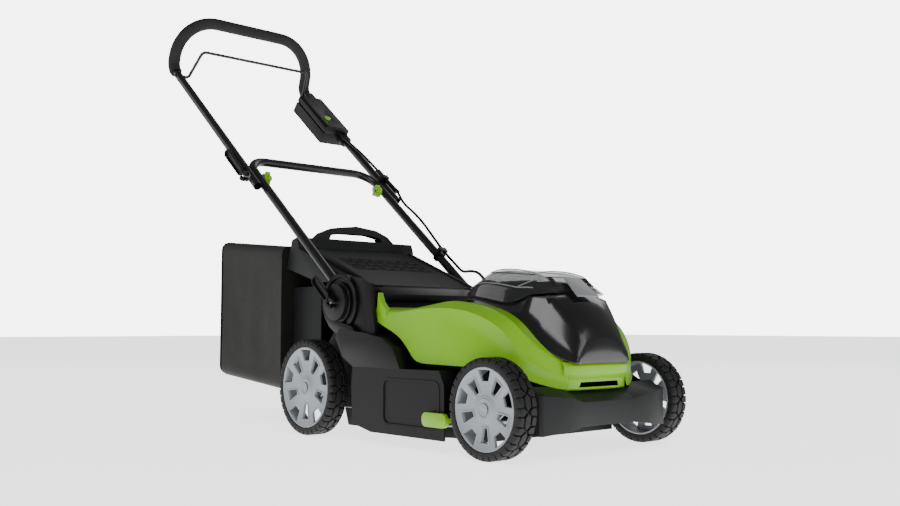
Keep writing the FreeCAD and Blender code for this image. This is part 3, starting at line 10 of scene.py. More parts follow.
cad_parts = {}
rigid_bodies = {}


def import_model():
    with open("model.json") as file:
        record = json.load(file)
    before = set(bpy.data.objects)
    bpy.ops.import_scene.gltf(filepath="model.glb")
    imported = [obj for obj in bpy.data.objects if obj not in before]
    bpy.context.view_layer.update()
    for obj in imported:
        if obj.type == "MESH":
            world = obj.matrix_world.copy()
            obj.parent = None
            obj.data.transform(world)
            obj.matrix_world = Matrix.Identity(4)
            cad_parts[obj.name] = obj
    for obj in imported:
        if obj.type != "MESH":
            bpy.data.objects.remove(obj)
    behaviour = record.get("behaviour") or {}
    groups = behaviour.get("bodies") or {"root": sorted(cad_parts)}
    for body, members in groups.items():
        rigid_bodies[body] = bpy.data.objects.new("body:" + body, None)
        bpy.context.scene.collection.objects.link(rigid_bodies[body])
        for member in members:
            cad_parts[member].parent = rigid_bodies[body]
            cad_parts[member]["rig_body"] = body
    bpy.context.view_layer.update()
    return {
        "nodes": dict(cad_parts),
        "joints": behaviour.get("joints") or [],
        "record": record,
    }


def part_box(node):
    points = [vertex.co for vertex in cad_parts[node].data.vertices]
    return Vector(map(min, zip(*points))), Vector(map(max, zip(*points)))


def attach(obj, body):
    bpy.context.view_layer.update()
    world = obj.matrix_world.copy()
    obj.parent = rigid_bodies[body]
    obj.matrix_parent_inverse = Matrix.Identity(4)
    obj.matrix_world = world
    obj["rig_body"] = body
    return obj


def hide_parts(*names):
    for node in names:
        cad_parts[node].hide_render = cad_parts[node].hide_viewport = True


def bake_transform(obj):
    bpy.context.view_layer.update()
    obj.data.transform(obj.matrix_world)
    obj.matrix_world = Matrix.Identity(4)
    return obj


bl_info = {
    "name": "Battery Lawn Mower",
    "version": (1, 0, 0),
    "blender": (4, 5, 0),
    "location": "View3D > Sidebar > Mower",
    "description": "Builds a battery lawn mower, piece by piece, around its packed model",
    "category": "Object",
}

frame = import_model()
JOINTS = {joint["name"]: joint for joint in frame["joints"]}
SLOTS = {part["node"]: part["material_slot"] for part in frame["record"]["subparts"]}
FRONT_X = JOINTS["wheel_front_right_spin"]["pos_m"][0]
PIVOT = Vector(JOINTS["handle_pivot"]["pos_m"])
FOLD = Vector(JOINTS["handle_fold"]["pos_m"])
UPPER = -Vector(JOINTS["start_button_press"]["axis"]).cross(Vector((0, 1, 0)))
LOWER = (FOLD - PIVOT).normalized()
MM = 0.001
SIDES = (("right", -1), ("left", 1))
FINISHES = {}


# Places and selection

def at(x, y, z):
    """A point in millimetres from the front axle, as metres in the row frame."""
    return Vector((FRONT_X + x * MM, y * MM, z * MM))


def along(start, way, distance, y=0.0, rise=0.0):
    """A point a distance up a handle leg from start, at a place across it and a height off it."""
    square = Vector((way.z, 0, -way.x))
    point = start + way * distance * MM + square * rise * MM
    point.y = y * MM
    return point


def only(*pieces):
    """Selects these pieces alone, the first of them active."""
    if bpy.context.mode != "OBJECT":
        bpy.ops.object.mode_set(mode="OBJECT")
    bpy.ops.object.select_all(action="DESELECT")
    for piece in pieces:
        piece.select_set(True)
    bpy.context.view_layer.objects.active = pieces[0]
    return pieces[0]


def edit(piece):
    """Opens a piece in edit mode with all of it selected."""
    only(piece)
    bpy.ops.object.mode_set(mode="EDIT")
    bpy.ops.mesh.select_mode(type="VERT")
    bpy.ops.mesh.select_all(action="SELECT")


def close_edit():
    bpy.ops.object.mode_set(mode="OBJECT")


def new_piece(name, points, faces, edges=()):
    """A piece from its points, in metres in the row frame."""
    mesh = bpy.data.meshes.new(name)
    mesh.from_pydata([tuple(point) for point in points], list(edges), list(faces))
    mesh.update()
    piece = bpy.data.objects.new(name, mesh)
    bpy.context.scene.collection.objects.link(piece)
    return only(piece)


def modify(piece, kind, **settings):
    """Adds a modifier and applies it."""
    only(piece)
    modifier = piece.modifiers.new(kind.title(), kind)
    for name, value in settings.items():
        setattr(modifier, name, value)
    bpy.ops.object.modifier_apply(modifier=modifier.name)
    return piece


def soften(piece, width, segments=2, angle=30):
    """Rounds the sharp edges, as a mould does."""
    if width:
        modify(piece, "BEVEL", width=width * MM, segments=segments, limit_method="ANGLE",
               angle_limit=math.radians(angle), miter_outer="MITER_ARC", use_clamp_overlap=True)
    only(piece)
    bpy.ops.object.shade_smooth_by_angle(angle=math.radians(38))
    return piece


def outwards(piece):
    """Merges doubles and turns every face out."""
    edit(piece)
    bpy.ops.mesh.remove_doubles(threshold=0.00002)
    bpy.ops.mesh.normals_make_consistent(inside=False)
    close_edit()
    return piece


def join(name, *pieces):
    """One piece of several."""
    only(*pieces)
    if len(pieces) > 1:
        bpy.ops.object.join()
    piece = bpy.context.view_layer.objects.active
    piece.name = name
    piece.data.name = name
    return piece


def spun(name, profile, centre, steps=72):
    """A ring or disc turned about the wheel's axle; the profile is (outward, radius) in millimetres."""
    points = [centre + Vector((radius * MM, out * MM, 0)) for out, radius in profile]
    edges = [(i, (i + 1) % len(points)) for i in range(len(points))]
    piece = new_piece(name, points, [], edges)
    edit(piece)
    bpy.ops.mesh.spin(steps=steps, angle=2 * math.pi, center=centre, axis=(0, 1, 0))
    close_edit()
    return outwards(piece)


def pushed(piece, push):
    """Makes a flat piece solid by pushing its faces out by a vector."""
    edit(piece)
    bpy.ops.mesh.extrude_region_move(TRANSFORM_OT_translate={"value": push})
    close_edit()
    return outwards(piece)


def slab(name, outline, push):
    """A flat outline pushed out by a vector into a solid."""
    return pushed(new_piece(name, outline, [list(range(len(outline)))]), push)


def flat_frame(outer, inner, push):
    """A thin frame between two outlines of four corners, pushed out by a vector into a solid."""
    faces = [[i, (i + 1) % 4, 4 + (i + 1) % 4, 4 + i] for i in range(4)]
    return pushed(new_piece("frame", outer + inner, faces), push)


def cut(piece, cutter):
    """Cuts one piece out of another and removes the cutter."""
    modify(piece, "BOOLEAN", object=cutter, operation="DIFFERENCE", solver="EXACT")
    bpy.data.objects.remove(cutter)


def copied(node, name, whole=True):
    """A merged copy of a CAD node; its flat faces are made whole unless a pocket stands in one."""
    mesh = frame["nodes"][node].data.copy()
    mesh.name = name
    mesh.materials.clear()
    piece = bpy.data.objects.new(name, mesh)
    bpy.context.scene.collection.objects.link(piece)
    edit(piece)
    bpy.ops.mesh.customdata_custom_splitnormals_clear()
    bpy.ops.mesh.remove_doubles(threshold=0.00001)
    if whole:
        bpy.ops.mesh.dissolve_limited(angle_limit=math.radians(1.2))
    close_edit()
    return piece


def finished(piece, material, body, slot, *nodes):
    """Gives a piece its material and body, and says which CAD nodes it stands for; the slot argument is not used.
    """
    if material:
        piece.data.materials.clear()
        piece.data.materials.append(material)
    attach(piece, body)
    if nodes:
        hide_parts(*nodes)
    return piece


def trim_node(node, material, bevel=0.6, segments=2):
    """A CAD node shown through a copy with its edges rounded."""
    piece = soften(copied(node, node + ".shown"), bevel, segments)
    return finished(piece, material, frame["nodes"][node]["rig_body"], SLOTS[node], node)


def skin(name, rows, rings=(), levels=2, wall=3.0, crease=0.8, hard_rows=()):
    """A moulded shell from half sections (x, [(y, z) from the low edge inwards]), mirrored across the machine.

    rings are the places in a section that keep a crease, and hard_rows the sections that do.
    """
    grid = []
    for x, half in rows:
        right = [at(x, -y, z) for y, z in half]
        left = [at(x, y, z) for y, z in reversed(half)]
        if half[-1][0] == 0:
            left = left[1:]
        grid.append(right + left)
    wide, long = len(grid[0]), len(grid)
    bpy.ops.object.select_all(action="DESELECT")
    bpy.ops.mesh.primitive_grid_add(x_subdivisions=wide - 1, y_subdivisions=long - 1)
    piece = bpy.context.object
    piece.name = name
    flat = [point for row in grid for point in row]
    for vertex, point in zip(piece.data.vertices, flat, strict=True):
        vertex.co = point
    piece.matrix_world = Matrix.Identity(4)
    creases = piece.data.attributes.new("crease_edge", "FLOAT", "EDGE")
    columns = set(rings) | {wide - 1 - ring for ring in rings}
    for edge in piece.data.edges:
        a, b = edge.vertices
        same_column = a % wide == b % wide and a % wide in columns
        same_row = a // wide == b // wide and a // wide in hard_rows
        if same_column or same_row:
            creases.data[edge.index].value = crease
    middle = sum(flat, Vector()) / len(flat)
    middle.z = min(point.z for point in flat)
    out = sum((face.center - middle).dot(face.normal) * face.area for face in piece.data.polygons)
    if out < 0:
        piece.data.flip_normals()
    if levels:
        modify(piece, "SUBSURF", levels=levels, render_levels=levels, use_limit_surface=False)
    if wall:
        modify(piece, "SOLIDIFY", thickness=wall * MM, offset=-1, use_even_offset=True)
    return piece


def rounded(points, radii, steps=8):
    """A run of points with its inner corners rounded."""
    path = [points[0]]
    for index, radius in enumerate(radii, 1):
        corner = points[index]
        before = (points[index - 1] - corner).normalized()
        after = (points[index + 1] - corner).normalized()
        half = before.angle(after) / 2
        centre = corner + (before + after).normalized() * radius * MM / math.sin(half)
        arm = corner + before * radius * MM / math.tan(half) - centre
        turn = arm.rotation_difference(corner + after * radius * MM / math.tan(half) - centre)
        for step in range(steps + 1):
            path.append(centre + Quaternion().slerp(turn, step / steps) @ arm)
    return path + [points[-1]]


def sweep(name, path, radii, sides=20, closed=False):
    """A round bar along a run of points, with a radius in millimetres at each."""
    points, faces = [], []
    count = len(path)
    across = None
    for index, point in enumerate(path):
        ahead = path[(index + 1) % count] if closed or index + 1 < count else point
        behind = path[index - 1] if closed or index else point
        way = (ahead - behind).normalized()
        if across is None:
            across = way.orthogonal()
        across = (across - way * across.dot(way)).normalized()
        other = way.cross(across)
        for side in range(sides):
            turn = 2 * math.pi * side / sides
            reach = (across * math.cos(turn) + other * math.sin(turn)) * radii[index] * MM
            points.append(point + reach)
    for index in range(count if closed else count - 1):
        for side in range(sides):
            a, b = index * sides + side, index * sides + (side + 1) % sides
            c, d = (b + sides) % (count * sides), (a + sides) % (count * sides)
            faces.append([a, b, c, d])
    if not closed:
        faces += [list(range(sides))[::-1], list(range((count - 1) * sides, count * sides))]
    return outwards(new_piece(name, points, faces))


def ringed(name, rings):
    """A solid lofted through closed rings of equal length, flat at both ends."""
    wide = len(rings[0])
    points = [point for ring in rings for point in ring]
    faces = [list(range(wide)), list(range(len(points) - wide, len(points)))]
    for row in range(len(rings) - 1):
        for step in range(wide):
            a, b = row * wide + step, row * wide + (step + 1) % wide
            faces.append([a, b, b + wide, a + wide])
    return outwards(new_piece(name, points, faces))


def rounded_box(half_wide, half_high, corner, steps=6):
    """The outline of a rounded rectangle about the middle, in millimetres."""
    outline = []
    for turn, (x, z) in enumerate(((1, 1), (-1, 1), (-1, -1), (1, -1))):
        for step in range(steps + 1):
            angle = math.pi / 2 * (turn + step / steps)
            outline.append((x * (half_wide - corner) + corner * math.cos(angle),
                            z * (half_high - corner) + corner * math.sin(angle)))
    return outline


# Materials

def linear(code):
    """A hex sRGB colour as linear red, green, blue, alpha."""
    values = [int(code[i:i + 2], 16) / 255 for i in (1, 3, 5)]
    return [v / 12.92 if v <= 0.04045 else ((v + 0.055) / 1.055) ** 2.4 for v in values] + [1.0]


def add(tree, kind, settings=(), links=()):
    """Adds a node, sets its properties or sockets, and links sources into its sockets."""
    item = tree.nodes.new(kind)
    for name, value in dict(settings).items():
        if isinstance(name, int) or name in item.inputs:
            item.inputs[name].default_value = value
        else:
            setattr(item, name, value)
    for name, source in dict(links).items():
        tree.links.new(source, item.inputs[name])
    return item


def blank_material(name):
    """A new material, its empty tree, and the place on the piece as the tree's first source."""
    material = bpy.data.materials.new(name)
    material.use_nodes = True
    tree = material.node_tree
    tree.nodes.clear()
    return material, tree, add(tree, "ShaderNodeTexCoord").outputs["Object"]


def moulded(name, colour, roughness, grain_mm=1.2, depth_mm=0.03, shade=0.12, mottle_mm=60.0, **shader):
    """A moulded, cast or coated surface: a fine grain and faint patches of shade."""
    material, tree, spot = blank_material(name)
    fine = add(tree, "ShaderNodeTexNoise", {"Scale": 1000 / grain_mm, "Detail": 3.0, "Roughness": 0.6},
               {"Vector": spot})
    broad = add(tree, "ShaderNodeTexNoise", {"Scale": 1000 / mottle_mm, "Detail": 4.0}, {"Vector": spot})
    dark = [c * (1 - shade) for c in linear(colour)[:3]] + [1.0]
    light = [min(1.0, c * (1 + shade)) for c in linear(colour)[:3]] + [1.0]
    tone = add(tree, "ShaderNodeMix", {"data_type": "RGBA", 6: dark, 7: light}, {0: broad.outputs["Fac"]})
    gloss = add(tree, "ShaderNodeMapRange",
                {"To Min": max(0.02, roughness - 0.06), "To Max": min(1.0, roughness + 0.06)},
                {"Value": fine.outputs["Fac"]})
    bump = add(tree, "ShaderNodeBump", {"Strength": 0.6, "Distance": depth_mm * MM},
               {"Height": fine.outputs["Fac"]})
    shading = add(tree, "ShaderNodeBsdfPrincipled", shader,
                  {"Base Color": tone.outputs[2], "Roughness": gloss.outputs["Result"],
                   "Normal": bump.outputs["Normal"]})
    add(tree, "ShaderNodeOutputMaterial", (), {"Surface": shading.outputs["BSDF"]})
    return material


def tyre_rubber():
    """Vulcanised rubber: near black, matt, a little dusty in the grooves."""
    return moulded("moulded_tyre_rubber", "#131314", 0.62, 1.6, 0.08, 0.20, 20.0,
                   **{"Specular IOR Level": 0.3})


def bag_weave():
    """Coated polyester in a plain weave, drawn coarser than it is, at 2 mm, so that it shows."""
    material, tree, spot = blank_material("woven_polyester_bag")
    split = add(tree, "ShaderNodeSeparateXYZ", (), {"Vector": spot})
    waves = []
    for axis in ("X", "Y", "Z"):
        turn = add(tree, "ShaderNodeMath", {"operation": "MULTIPLY", 1: 2 * math.pi / 0.002},
                   {0: split.outputs[axis]})
        waves.append(add(tree, "ShaderNodeMath", {"operation": "SINE"}, {0: turn.outputs[0]}).outputs[0])
    pair = add(tree, "ShaderNodeMath", {"operation": "MAXIMUM"}, {0: waves[0], 1: waves[1]})
    weave = add(tree, "ShaderNodeMath", {"operation": "ADD"}, {0: pair.outputs[0], 1: waves[2]})
    patches = add(tree, "ShaderNodeTexNoise", {"Scale": 9.0, "Detail": 5.0}, {"Vector": spot})
    tone = add(tree, "ShaderNodeMix", {"data_type": "RGBA", 6: linear("#0d0c0a"), 7: linear("#13120f")},
               {0: patches.outputs["Fac"]})
    bump = add(tree, "ShaderNodeBump", {"Strength": 0.35, "Distance": 0.0002}, {"Height": weave.outputs[0]})
    shading = add(tree, "ShaderNodeBsdfPrincipled",
                  {"Roughness": 0.62, "Sheen Weight": 0.04, "Sheen Roughness": 0.4, "Specular IOR Level": 0.25},
                  {"Base Color": tone.outputs[2], "Normal": bump.outputs["Normal"]})
    add(tree, "ShaderNodeOutputMaterial", (), {"Surface": shading.outputs["BSDF"]})
    return material


def smoked_polycarbonate():
    """Clear polycarbonate with a grey smoke tint: glossy, and dark where it is seen edge on."""
    material, tree, spot = blank_material("smoked_polycarbonate")
    haze = add(tree, "ShaderNodeTexNoise", {"Scale": 14.0, "Detail": 3.0}, {"Vector": spot})
    tone = add(tree, "ShaderNodeMix", {"data_type": "RGBA", 6: linear("#1b1c1d"), 7: linear("#2c2d2e")},
               {0: haze.outputs["Fac"]})
    shading = add(tree, "ShaderNodeBsdfPrincipled",
                  {"Roughness": 0.08, "IOR": 1.58, "Alpha": 0.55, "Coat Weight": 0.4, "Coat Roughness": 0.04},
                  {"Base Color": tone.outputs[2]})
    add(tree, "ShaderNodeOutputMaterial", (), {"Surface": shading.outputs["BSDF"]})
    return material


def lit_paper(name, strength):
    """White studio paper lit so evenly that it holds hardly any shade."""
    material, tree, spot = blank_material(name)
    fibre = add(tree, "ShaderNodeTexNoise", {"Scale": 3.0, "Detail": 2.0}, {"Vector": spot})
    glow = add(tree, "ShaderNodeMapRange", {"To Min": strength * 0.98, "To Max": strength * 1.02},
               {"Value": fibre.outputs["Fac"]})
    shading = add(tree, "ShaderNodeBsdfPrincipled",
                  {"Base Color": linear("#f6f6f6"), "Roughness": 0.9, "Specular IOR Level": 0.1,
                   "Emission Color": linear("#ffffff")},
                  {"Emission Strength": glow.outputs["Result"]})
    add(tree, "ShaderNodeOutputMaterial", (), {"Surface": shading.outputs["BSDF"]})
    return material


def grip_foam():
    """Closed-cell foam: a matt black skin with pores about 1.5 mm across."""
    material, tree, spot = blank_material("closed_cell_foam")
    pores = add(tree, "ShaderNodeTexVoronoi", {"Scale": 660.0}, {"Vector": spot})
    broad = add(tree, "ShaderNodeTexNoise", {"Scale": 30.0, "Detail": 4.0}, {"Vector": spot})
    tone = add(tree, "ShaderNodeMix", {"data_type": "RGBA", 6: linear("#111112"), 7: linear("#1b1b1c")},
               {0: broad.outputs["Fac"]})
    bump = add(tree, "ShaderNodeBump", {"Strength": 0.5, "Distance": 0.0003},
               {"Height": pores.outputs["Distance"]})
    shading = add(tree, "ShaderNodeBsdfPrincipled", {"Roughness": 0.78, "Specular IOR Level": 0.35},
                  {"Base Color": tone.outputs[2], "Normal": bump.outputs["Normal"]})
    add(tree, "ShaderNodeOutputMaterial", (), {"Surface": shading.outputs["BSDF"]})
    return material


def make_finishes(finish):
    """Every finish on the mower, by the word that the operators use for it."""
    dull = {"Specular IOR Level": 0.2}
    FINISHES.update({
        "tyre": tyre_rubber(),
        # glass-filled nylon wheel centres: satin, with a light that rolls softly over the edges
        "wheel": moulded("moulded_nylon_wheel", finish.wheel, 0.42, 1.0, 0.02, 0.05),
        # zinc-plated mild steel: bright, with a fine drawn grain
        "steel": moulded("zinc_plated_steel", "#8f9193", 0.36, 0.7, 0.02, 0.10, Metallic=1.0),
        # powder coat on steel tube: a slight orange peel under a soft sheen
        "tube": moulded("powder_coated_tube", finish.tube, 0.30, 2.2, 0.01, 0.08,
                        **{"Specular IOR Level": 0.4}),
        # spark-eroded ABS of the deck: an even fine grain that keeps the black deep
        "deck": moulded("grained_abs_deck", finish.deck, 0.52, 1.4, 0.08, 0.10, **dull),
        # smoother ABS of the towers and levers: a tighter, softer light than the deck
        "smooth": moulded("satin_abs", finish.deck, 0.40, 1.2, 0.02, 0.08, **dull),
        # coloured ABS, polished mould: satin gloss
        "green": moulded("green_abs_cover", finish.green, 0.36, 1.0, 0.01, 0.04,
                         **{"Specular IOR Level": 0.4}),
        # high gloss black ABS of the hood: it mirrors the soft lights
        "hood": moulded("gloss_abs_hood", finish.hood, 0.20, 1.0, 0.004, 0.06,
                        **{"Coat Weight": 0.3, "Coat Roughness": 0.10}),
        "smoke": smoked_polycarbonate(),
        # grey ABS of the flap and bag top: matt and even
        "grey": moulded("grained_grey_abs", finish.grey, 0.55, 1.4, 0.06, 0.08, **dull),
        # the bumper's ABS, a shade lighter so that its facets part
        "bumper": moulded("grained_abs_bumper", finish.bumper, 0.50, 1.4, 0.06, 0.08, **dull),
        "foam": grip_foam(),
        "weave": bag_weave(),
        # soft PVC cable sheath: a dull black that keeps one thin highlight
        "sheath": moulded("pvc_cable_sheath", "#111112", 0.45, 1.2, 0.02, 0.10, **dull),
        # cast motor body: pale and granular
        "motor": moulded("cast_aluminium", "#8c8f92", 0.45, 1.0, 0.05, 0.12, Metallic=1.0),
        # the blade: dark and faintly metallic
        "blade": moulded("black_oxide_steel", "#2a2b2c", 0.45, 0.8, 0.03, 0.18, Metallic=0.7),
        # pale grey ABS of the latch plate and of the lid's frame
        "light": moulded("pale_grey_abs", "#7b7d80", 0.42, 1.0, 0.01, 0.05),
    })


# Wheels

TREAD_ROWS = ((16.5, 0.0), (20.0, 1.0), (21.7, 4.2), (22.0, 11.0))


def tyre(name, centre, radius, pitches):
    """A solid rubber tyre: a smooth carcass under hexagons and interlocking shoulder blocks."""
    side = [(19.0, radius - 16), (21.2, radius - 14.5), (21.6, radius - 11), (20.6, radius - 6),
            (17.0, radius - 4.8), (6.0, radius - 4.4)]
    ring = spun(name, [(-out, r) for out, r in side] + [(out, r) for out, r in reversed(side)], centre, 96)
    points, faces = [], []

    def put(s, y, drop):
        turn = 2 * math.pi * s / pitches
        reach = (radius - drop) * MM
        points.append(centre + Vector((math.cos(turn) * reach, y * MM, math.sin(turn) * reach)))
        return len(points) - 1

    for pitch in range(pitches):
        hexagon = [(0.06, 0), (0.27, 6.4), (0.73, 6.4), (0.94, 0), (0.73, -6.4), (0.27, -6.4)]
        middle = [put(pitch + s, y, 0) for s, y in hexagon]
        faces += [[middle[0], middle[1], middle[5]], [middle[1], middle[2], middle[4], middle[5]],
                  [middle[2], middle[3], middle[4]]]
        for side_sign in (1, -1):
            for low, high, inner, tip in ((-0.19, 0.19, 9.6, 4.0), (0.27, 0.73, 10.2, 9.2)):
                centre_s = (low + high) / 2
                last = [put(pitch + s, side_sign * y, 0)
                        for s, y in ((low, inner), (centre_s, tip), (high, inner))]
                for y, drop in TREAD_ROWS:
                    row = [put(pitch + s, side_sign * y, drop) for s in (low, centre_s, high)]
                    faces += [[last[0], last[1], row[1], row[0]], [last[1], last[2], row[2], row[1]]]
                    last = row
    blocks = new_piece(name + ".blocks", points, faces)
    edit(blocks)
    bpy.ops.mesh.normals_make_consistent(inside=False)
    close_edit()
    for face in blocks.data.polygons:
        if face.normal.dot(face.center - centre) < 0:
            face.flip()
    modify(blocks, "SOLIDIFY", thickness=4.6 * MM, offset=-1, use_even_offset=False)
    soften(blocks, 0.7, 1, 40)
    soften(ring, 0, 1)
    return join(name, ring, blocks)


POCKET_BAR = 2.6  # how wide and how deep the bars round a wheel's pockets are


def pocket_outline(centre, side, turn, r_in, r_out, half_in, half_out, out, grow=0.0):
    """The four corners of a pocket in the wheel's face, at an angle round the hub."""
    corners = []
    for radius, across in ((r_in - grow, -half_in - grow), (r_out + grow, -half_out - grow),
                           (r_out + grow, half_out + grow), (r_in - grow, half_in + grow)):
        x = radius * math.cos(turn) - across * math.sin(turn)
        z = radius * math.sin(turn) + across * math.cos(turn)
        depth = out(radius) if callable(out) else out
        corners.append(centre + Vector((x, side * depth, z)) * MM)
    return corners


def rim(name, centre, side, radius):
    """A five-spoke wheel centre with rim notches, trapezoid pockets and a ringed hub."""
    edge = radius - 16
    web = 0.62 * edge

    def face_at(r):
        return float(np.interp(r, [24, web, edge - 6], [15.6, 15.8, 18.2]))

    def bar_at(r):
        return face_at(r) + POCKET_BAR / 2

    profile = [(-20, edge), (19.5, edge), (20.6, edge - 1.4), (19.6, edge - 4), (18.2, edge - 6),
               (15.8, web), (15.6, 25), (17.4, 22.6), (17.4, 20.2), (19.4, 18.6), (19.4, 14.2), (18.2, 12.8),
               (18.2, 9.6), (20.2, 8.6), (20.2, 4.6), (19.2, 3.6), (19.2, 0.02), (9, 0.02), (9, 15), (11, 26),
               (11, web), (12, edge - 5.2), (9, edge - 3.6), (-20, edge - 3.2)]
    disc = spun(name, [(side * out, r) for out, r in profile], centre, 90)
    cutters, frames = [], []
    for index in range(5):
        turn = math.pi / 2 + math.radians(72 * index)
        notch = pocket_outline(centre, side, turn, 0.66 * edge, 0.93 * edge, 0.115 * edge, 0.215 * edge, 2)
        cutters.append(slab("notch", notch, (0, side * 30 * MM, 0)))
        turn += math.radians(36)
        size = (0.43 * edge, 0.79 * edge, 0.065 * edge, 0.135 * edge)
        cutters.append(slab("pocket", pocket_outline(centre, side, turn, *size, 2), (0, side * 30 * MM, 0)))
        outer, inner = (pocket_outline(centre, side, turn, *size, bar_at, grow) for grow in (POCKET_BAR, 0.0))
        frames.append(flat_frame(outer, inner, (0, -side * POCKET_BAR * MM, 0)))
    cutter = join("cutter", *cutters)
    cut(disc, cutter)
    soften(disc, 0.8, 2, 32)
    bars = join("bars", *frames)
    soften(bars, 0.6, 1, 40)
    return join(name, disc, bars)


class MowerWheelSizes(bpy.types.PropertyGroup):
    front_pitches: bpy.props.IntProperty(
        name="Front pitches", description="Tread blocks round a front tyre", default=17, min=8)
    rear_pitches: bpy.props.IntProperty(
        name="Rear pitches", description="Tread blocks round a rear tyre", default=19, min=8)


class MOWER_OT_wheels(bpy.types.Operator):
    """Builds the four tyres with their tread blocks and the four five-spoke centres"""
    bl_idname = "mower.wheels"
    bl_label = "Wheels"

    def execute(self, context):
        sizes = context.scene.mower_wheels
        for end, pitches in (("front", sizes.front_pitches), ("rear", sizes.rear_pitches)):
            for side_name, side in SIDES:
                label = "%s_%s" % (end, side_name)
                centre = Vector(JOINTS["wheel_%s_spin" % label]["pos_m"])
                radius = centre.z / MM
                body = "wheel_" + label
                piece = tyre("tyre_%s.tread" % label, centre, radius, pitches)
                finished(piece, FINISHES["tyre"], body, "tyre", "tyre_" + label)
                piece = rim("rim_%s.spokes" % label, centre, side, radius)
                finished(piece, FINISHES["wheel"], body, "wheel_grey", "rim_" + label)
        return {"FINISHED"}


# Covers

COVER_ROWS = [
    # x, then low edge, side, upper side, ridge, band behind it, beyond it, inner edge
    (-356, [(199, 250), (198, 257), (196, 263), (191, 268.5), (188, 270), (100, 270), (0, 270)]),
    (-336, [(200, 236), (198, 247), (195, 257), (190, 264), (186, 266), (100, 267), (0, 267)]),
    (-300, [(200.5, 224), (197.5, 238), (194, 250), (191, 258.5), (185, 263), (100, 266), (0, 267)]),
    (-270, [(200.5, 210), (197.5, 229), (193.5, 249), (190, 261), (184, 264.5), (100, 267), (0, 268)]),
    (-245, [(200.5, 188), (197.5, 216), (193, 247), (189.5, 263), (183, 266.5), (104, 268), (0, 270)]),
    (-226, [(200.5, 163), (197.5, 203), (192.5, 246), (189.5, 265), (182, 269), (108, 270), (0, 273)]),
    (-190, [(200.5, 160.5), (197, 200), (191.5, 245), (189, 266), (178, 274), (112, 276), (0, 280)]),
    (-152, [(200, 160), (196, 199), (190, 244), (188, 266), (168, 281), (113, 277), (0, 280)]),
    (-112, [(197, 159), (193.5, 196), (187, 238), (186, 263), (160, 276), (118, 270), (0, 274)]),
    (-70, [(191, 158), (188, 188), (182, 225), (182, 253), (156, 267), (118, 262), (0, 266)]),
    (-40, [(184, 158), (181, 178), (176, 208), (177, 240), (152, 254), (116, 250), (0, 254)]),
    (-16, [(176, 156), (173, 166), (168, 188), (170, 224), (147, 243), (114, 232), (0, 236)]),
    (2, [(168, 149), (165, 155), (162, 168), (164, 200), (141, 222), (110, 212), (0, 216)]),
    (24, [(149, 137), (146, 142), (143, 149), (146, 172), (124, 196), (102, 192), (0, 194)]),
    (44, [(118, 125), (115, 130), (112, 136), (113, 150), (99, 170), (88, 178), (0, 180)]),
    (60, [(88, 118), (86, 124), (84, 131), (83, 140), (78, 156), (76, 168), (0, 172)]),
]
APRON = [(52, 117.5), (60, 118), (62.5, 120), (63.5, 136), (66, 139.5), (71, 146), (72, 160),
         (66, 167), (50, 170)]


def apron():
    """The front of the cover below the hood's nose: an upright band, a crease and a sloping band above."""
    points, faces = [], []
    wide = 25
    for x, z in APRON:
        for step in range(wide):
            t = 2 * step / (wide - 1) - 1
            y = 91 * t
            back = 15 * abs(t) ** 5
            points.append(at(x - back, y, z))
    for row in range(len(APRON) - 1):
        for step in range(wide - 1):
            a = row * wide + step
            faces.append([a, a + 1, a + 1 + wide, a + wide])
    piece = new_piece("apron", points, faces)
    modify(piece, "SOLIDIFY", thickness=2.5 * MM, offset=0, use_even_offset=True)
    outwards(piece)
    vent = slab("vent", [at(40, y, z) for y, z in ((-56, 122), (56, 122), (52, 131), (-52, 131))], (0.06, 0, 0))
    cut(piece, vent)
    return soften(piece, 0.6)


def green_cover():
    """The moulded cover: flat behind, a shoulder line down each side and an apron at the front."""
    shell = soften(skin("shell", COVER_ROWS, rings=(0, 2, 3, 4), levels=2, crease=0.85), 0)
    pieces = [shell, apron()]
    for side in (-1, 1):
        # the corner that rises beside each tower
        corner = [at(-352, 0, 250), at(-345, 0, 300), at(-337, 0, 281), at(-322, 0, 266), at(-318, 0, 236)]
        blade = slab("corner", [p + Vector((0, side * 184 * MM, 0)) for p in corner],
                     (0, side * 13 * MM, 0))
        pieces.append(soften(blade, 1.2))
    return join("top_cover.shell", *pieces)


HOOD_ROWS = [
    (-196, [(92, 272), (91, 282), (84, 290), (40, 291), (0, 291)]),
    (-160, [(114, 275), (110, 284), (98, 290), (45, 291), (0, 291)]),
    (-112, [(119, 264), (116, 274), (104, 281), (50, 284), (0, 284)]),
    (-52, [(119, 248), (116, 260), (104, 269), (50, 284), (0, 285)]),
    (-18, [(116, 222), (112, 258), (100, 286), (50, 290), (0, 290)]),
    (17, [(108, 194), (104, 227), (77, 281), (40, 291), (0, 292)]),
    (43, [(98, 178), (92, 205), (67, 252), (35, 270), (0, 274)]),
    (66, [(84, 168), (79, 187), (57, 219), (30, 233), (0, 236)]),
    (73, [(76, 166), (71, 181), (51, 203), (26, 213), (0, 216)]),
    (75, [(70, 164), (66, 174), (48, 186), (24, 189), (0, 190)]),
    (74, [(68, 163), (64, 165), (46, 165), (24, 165), (0, 165)]),
]


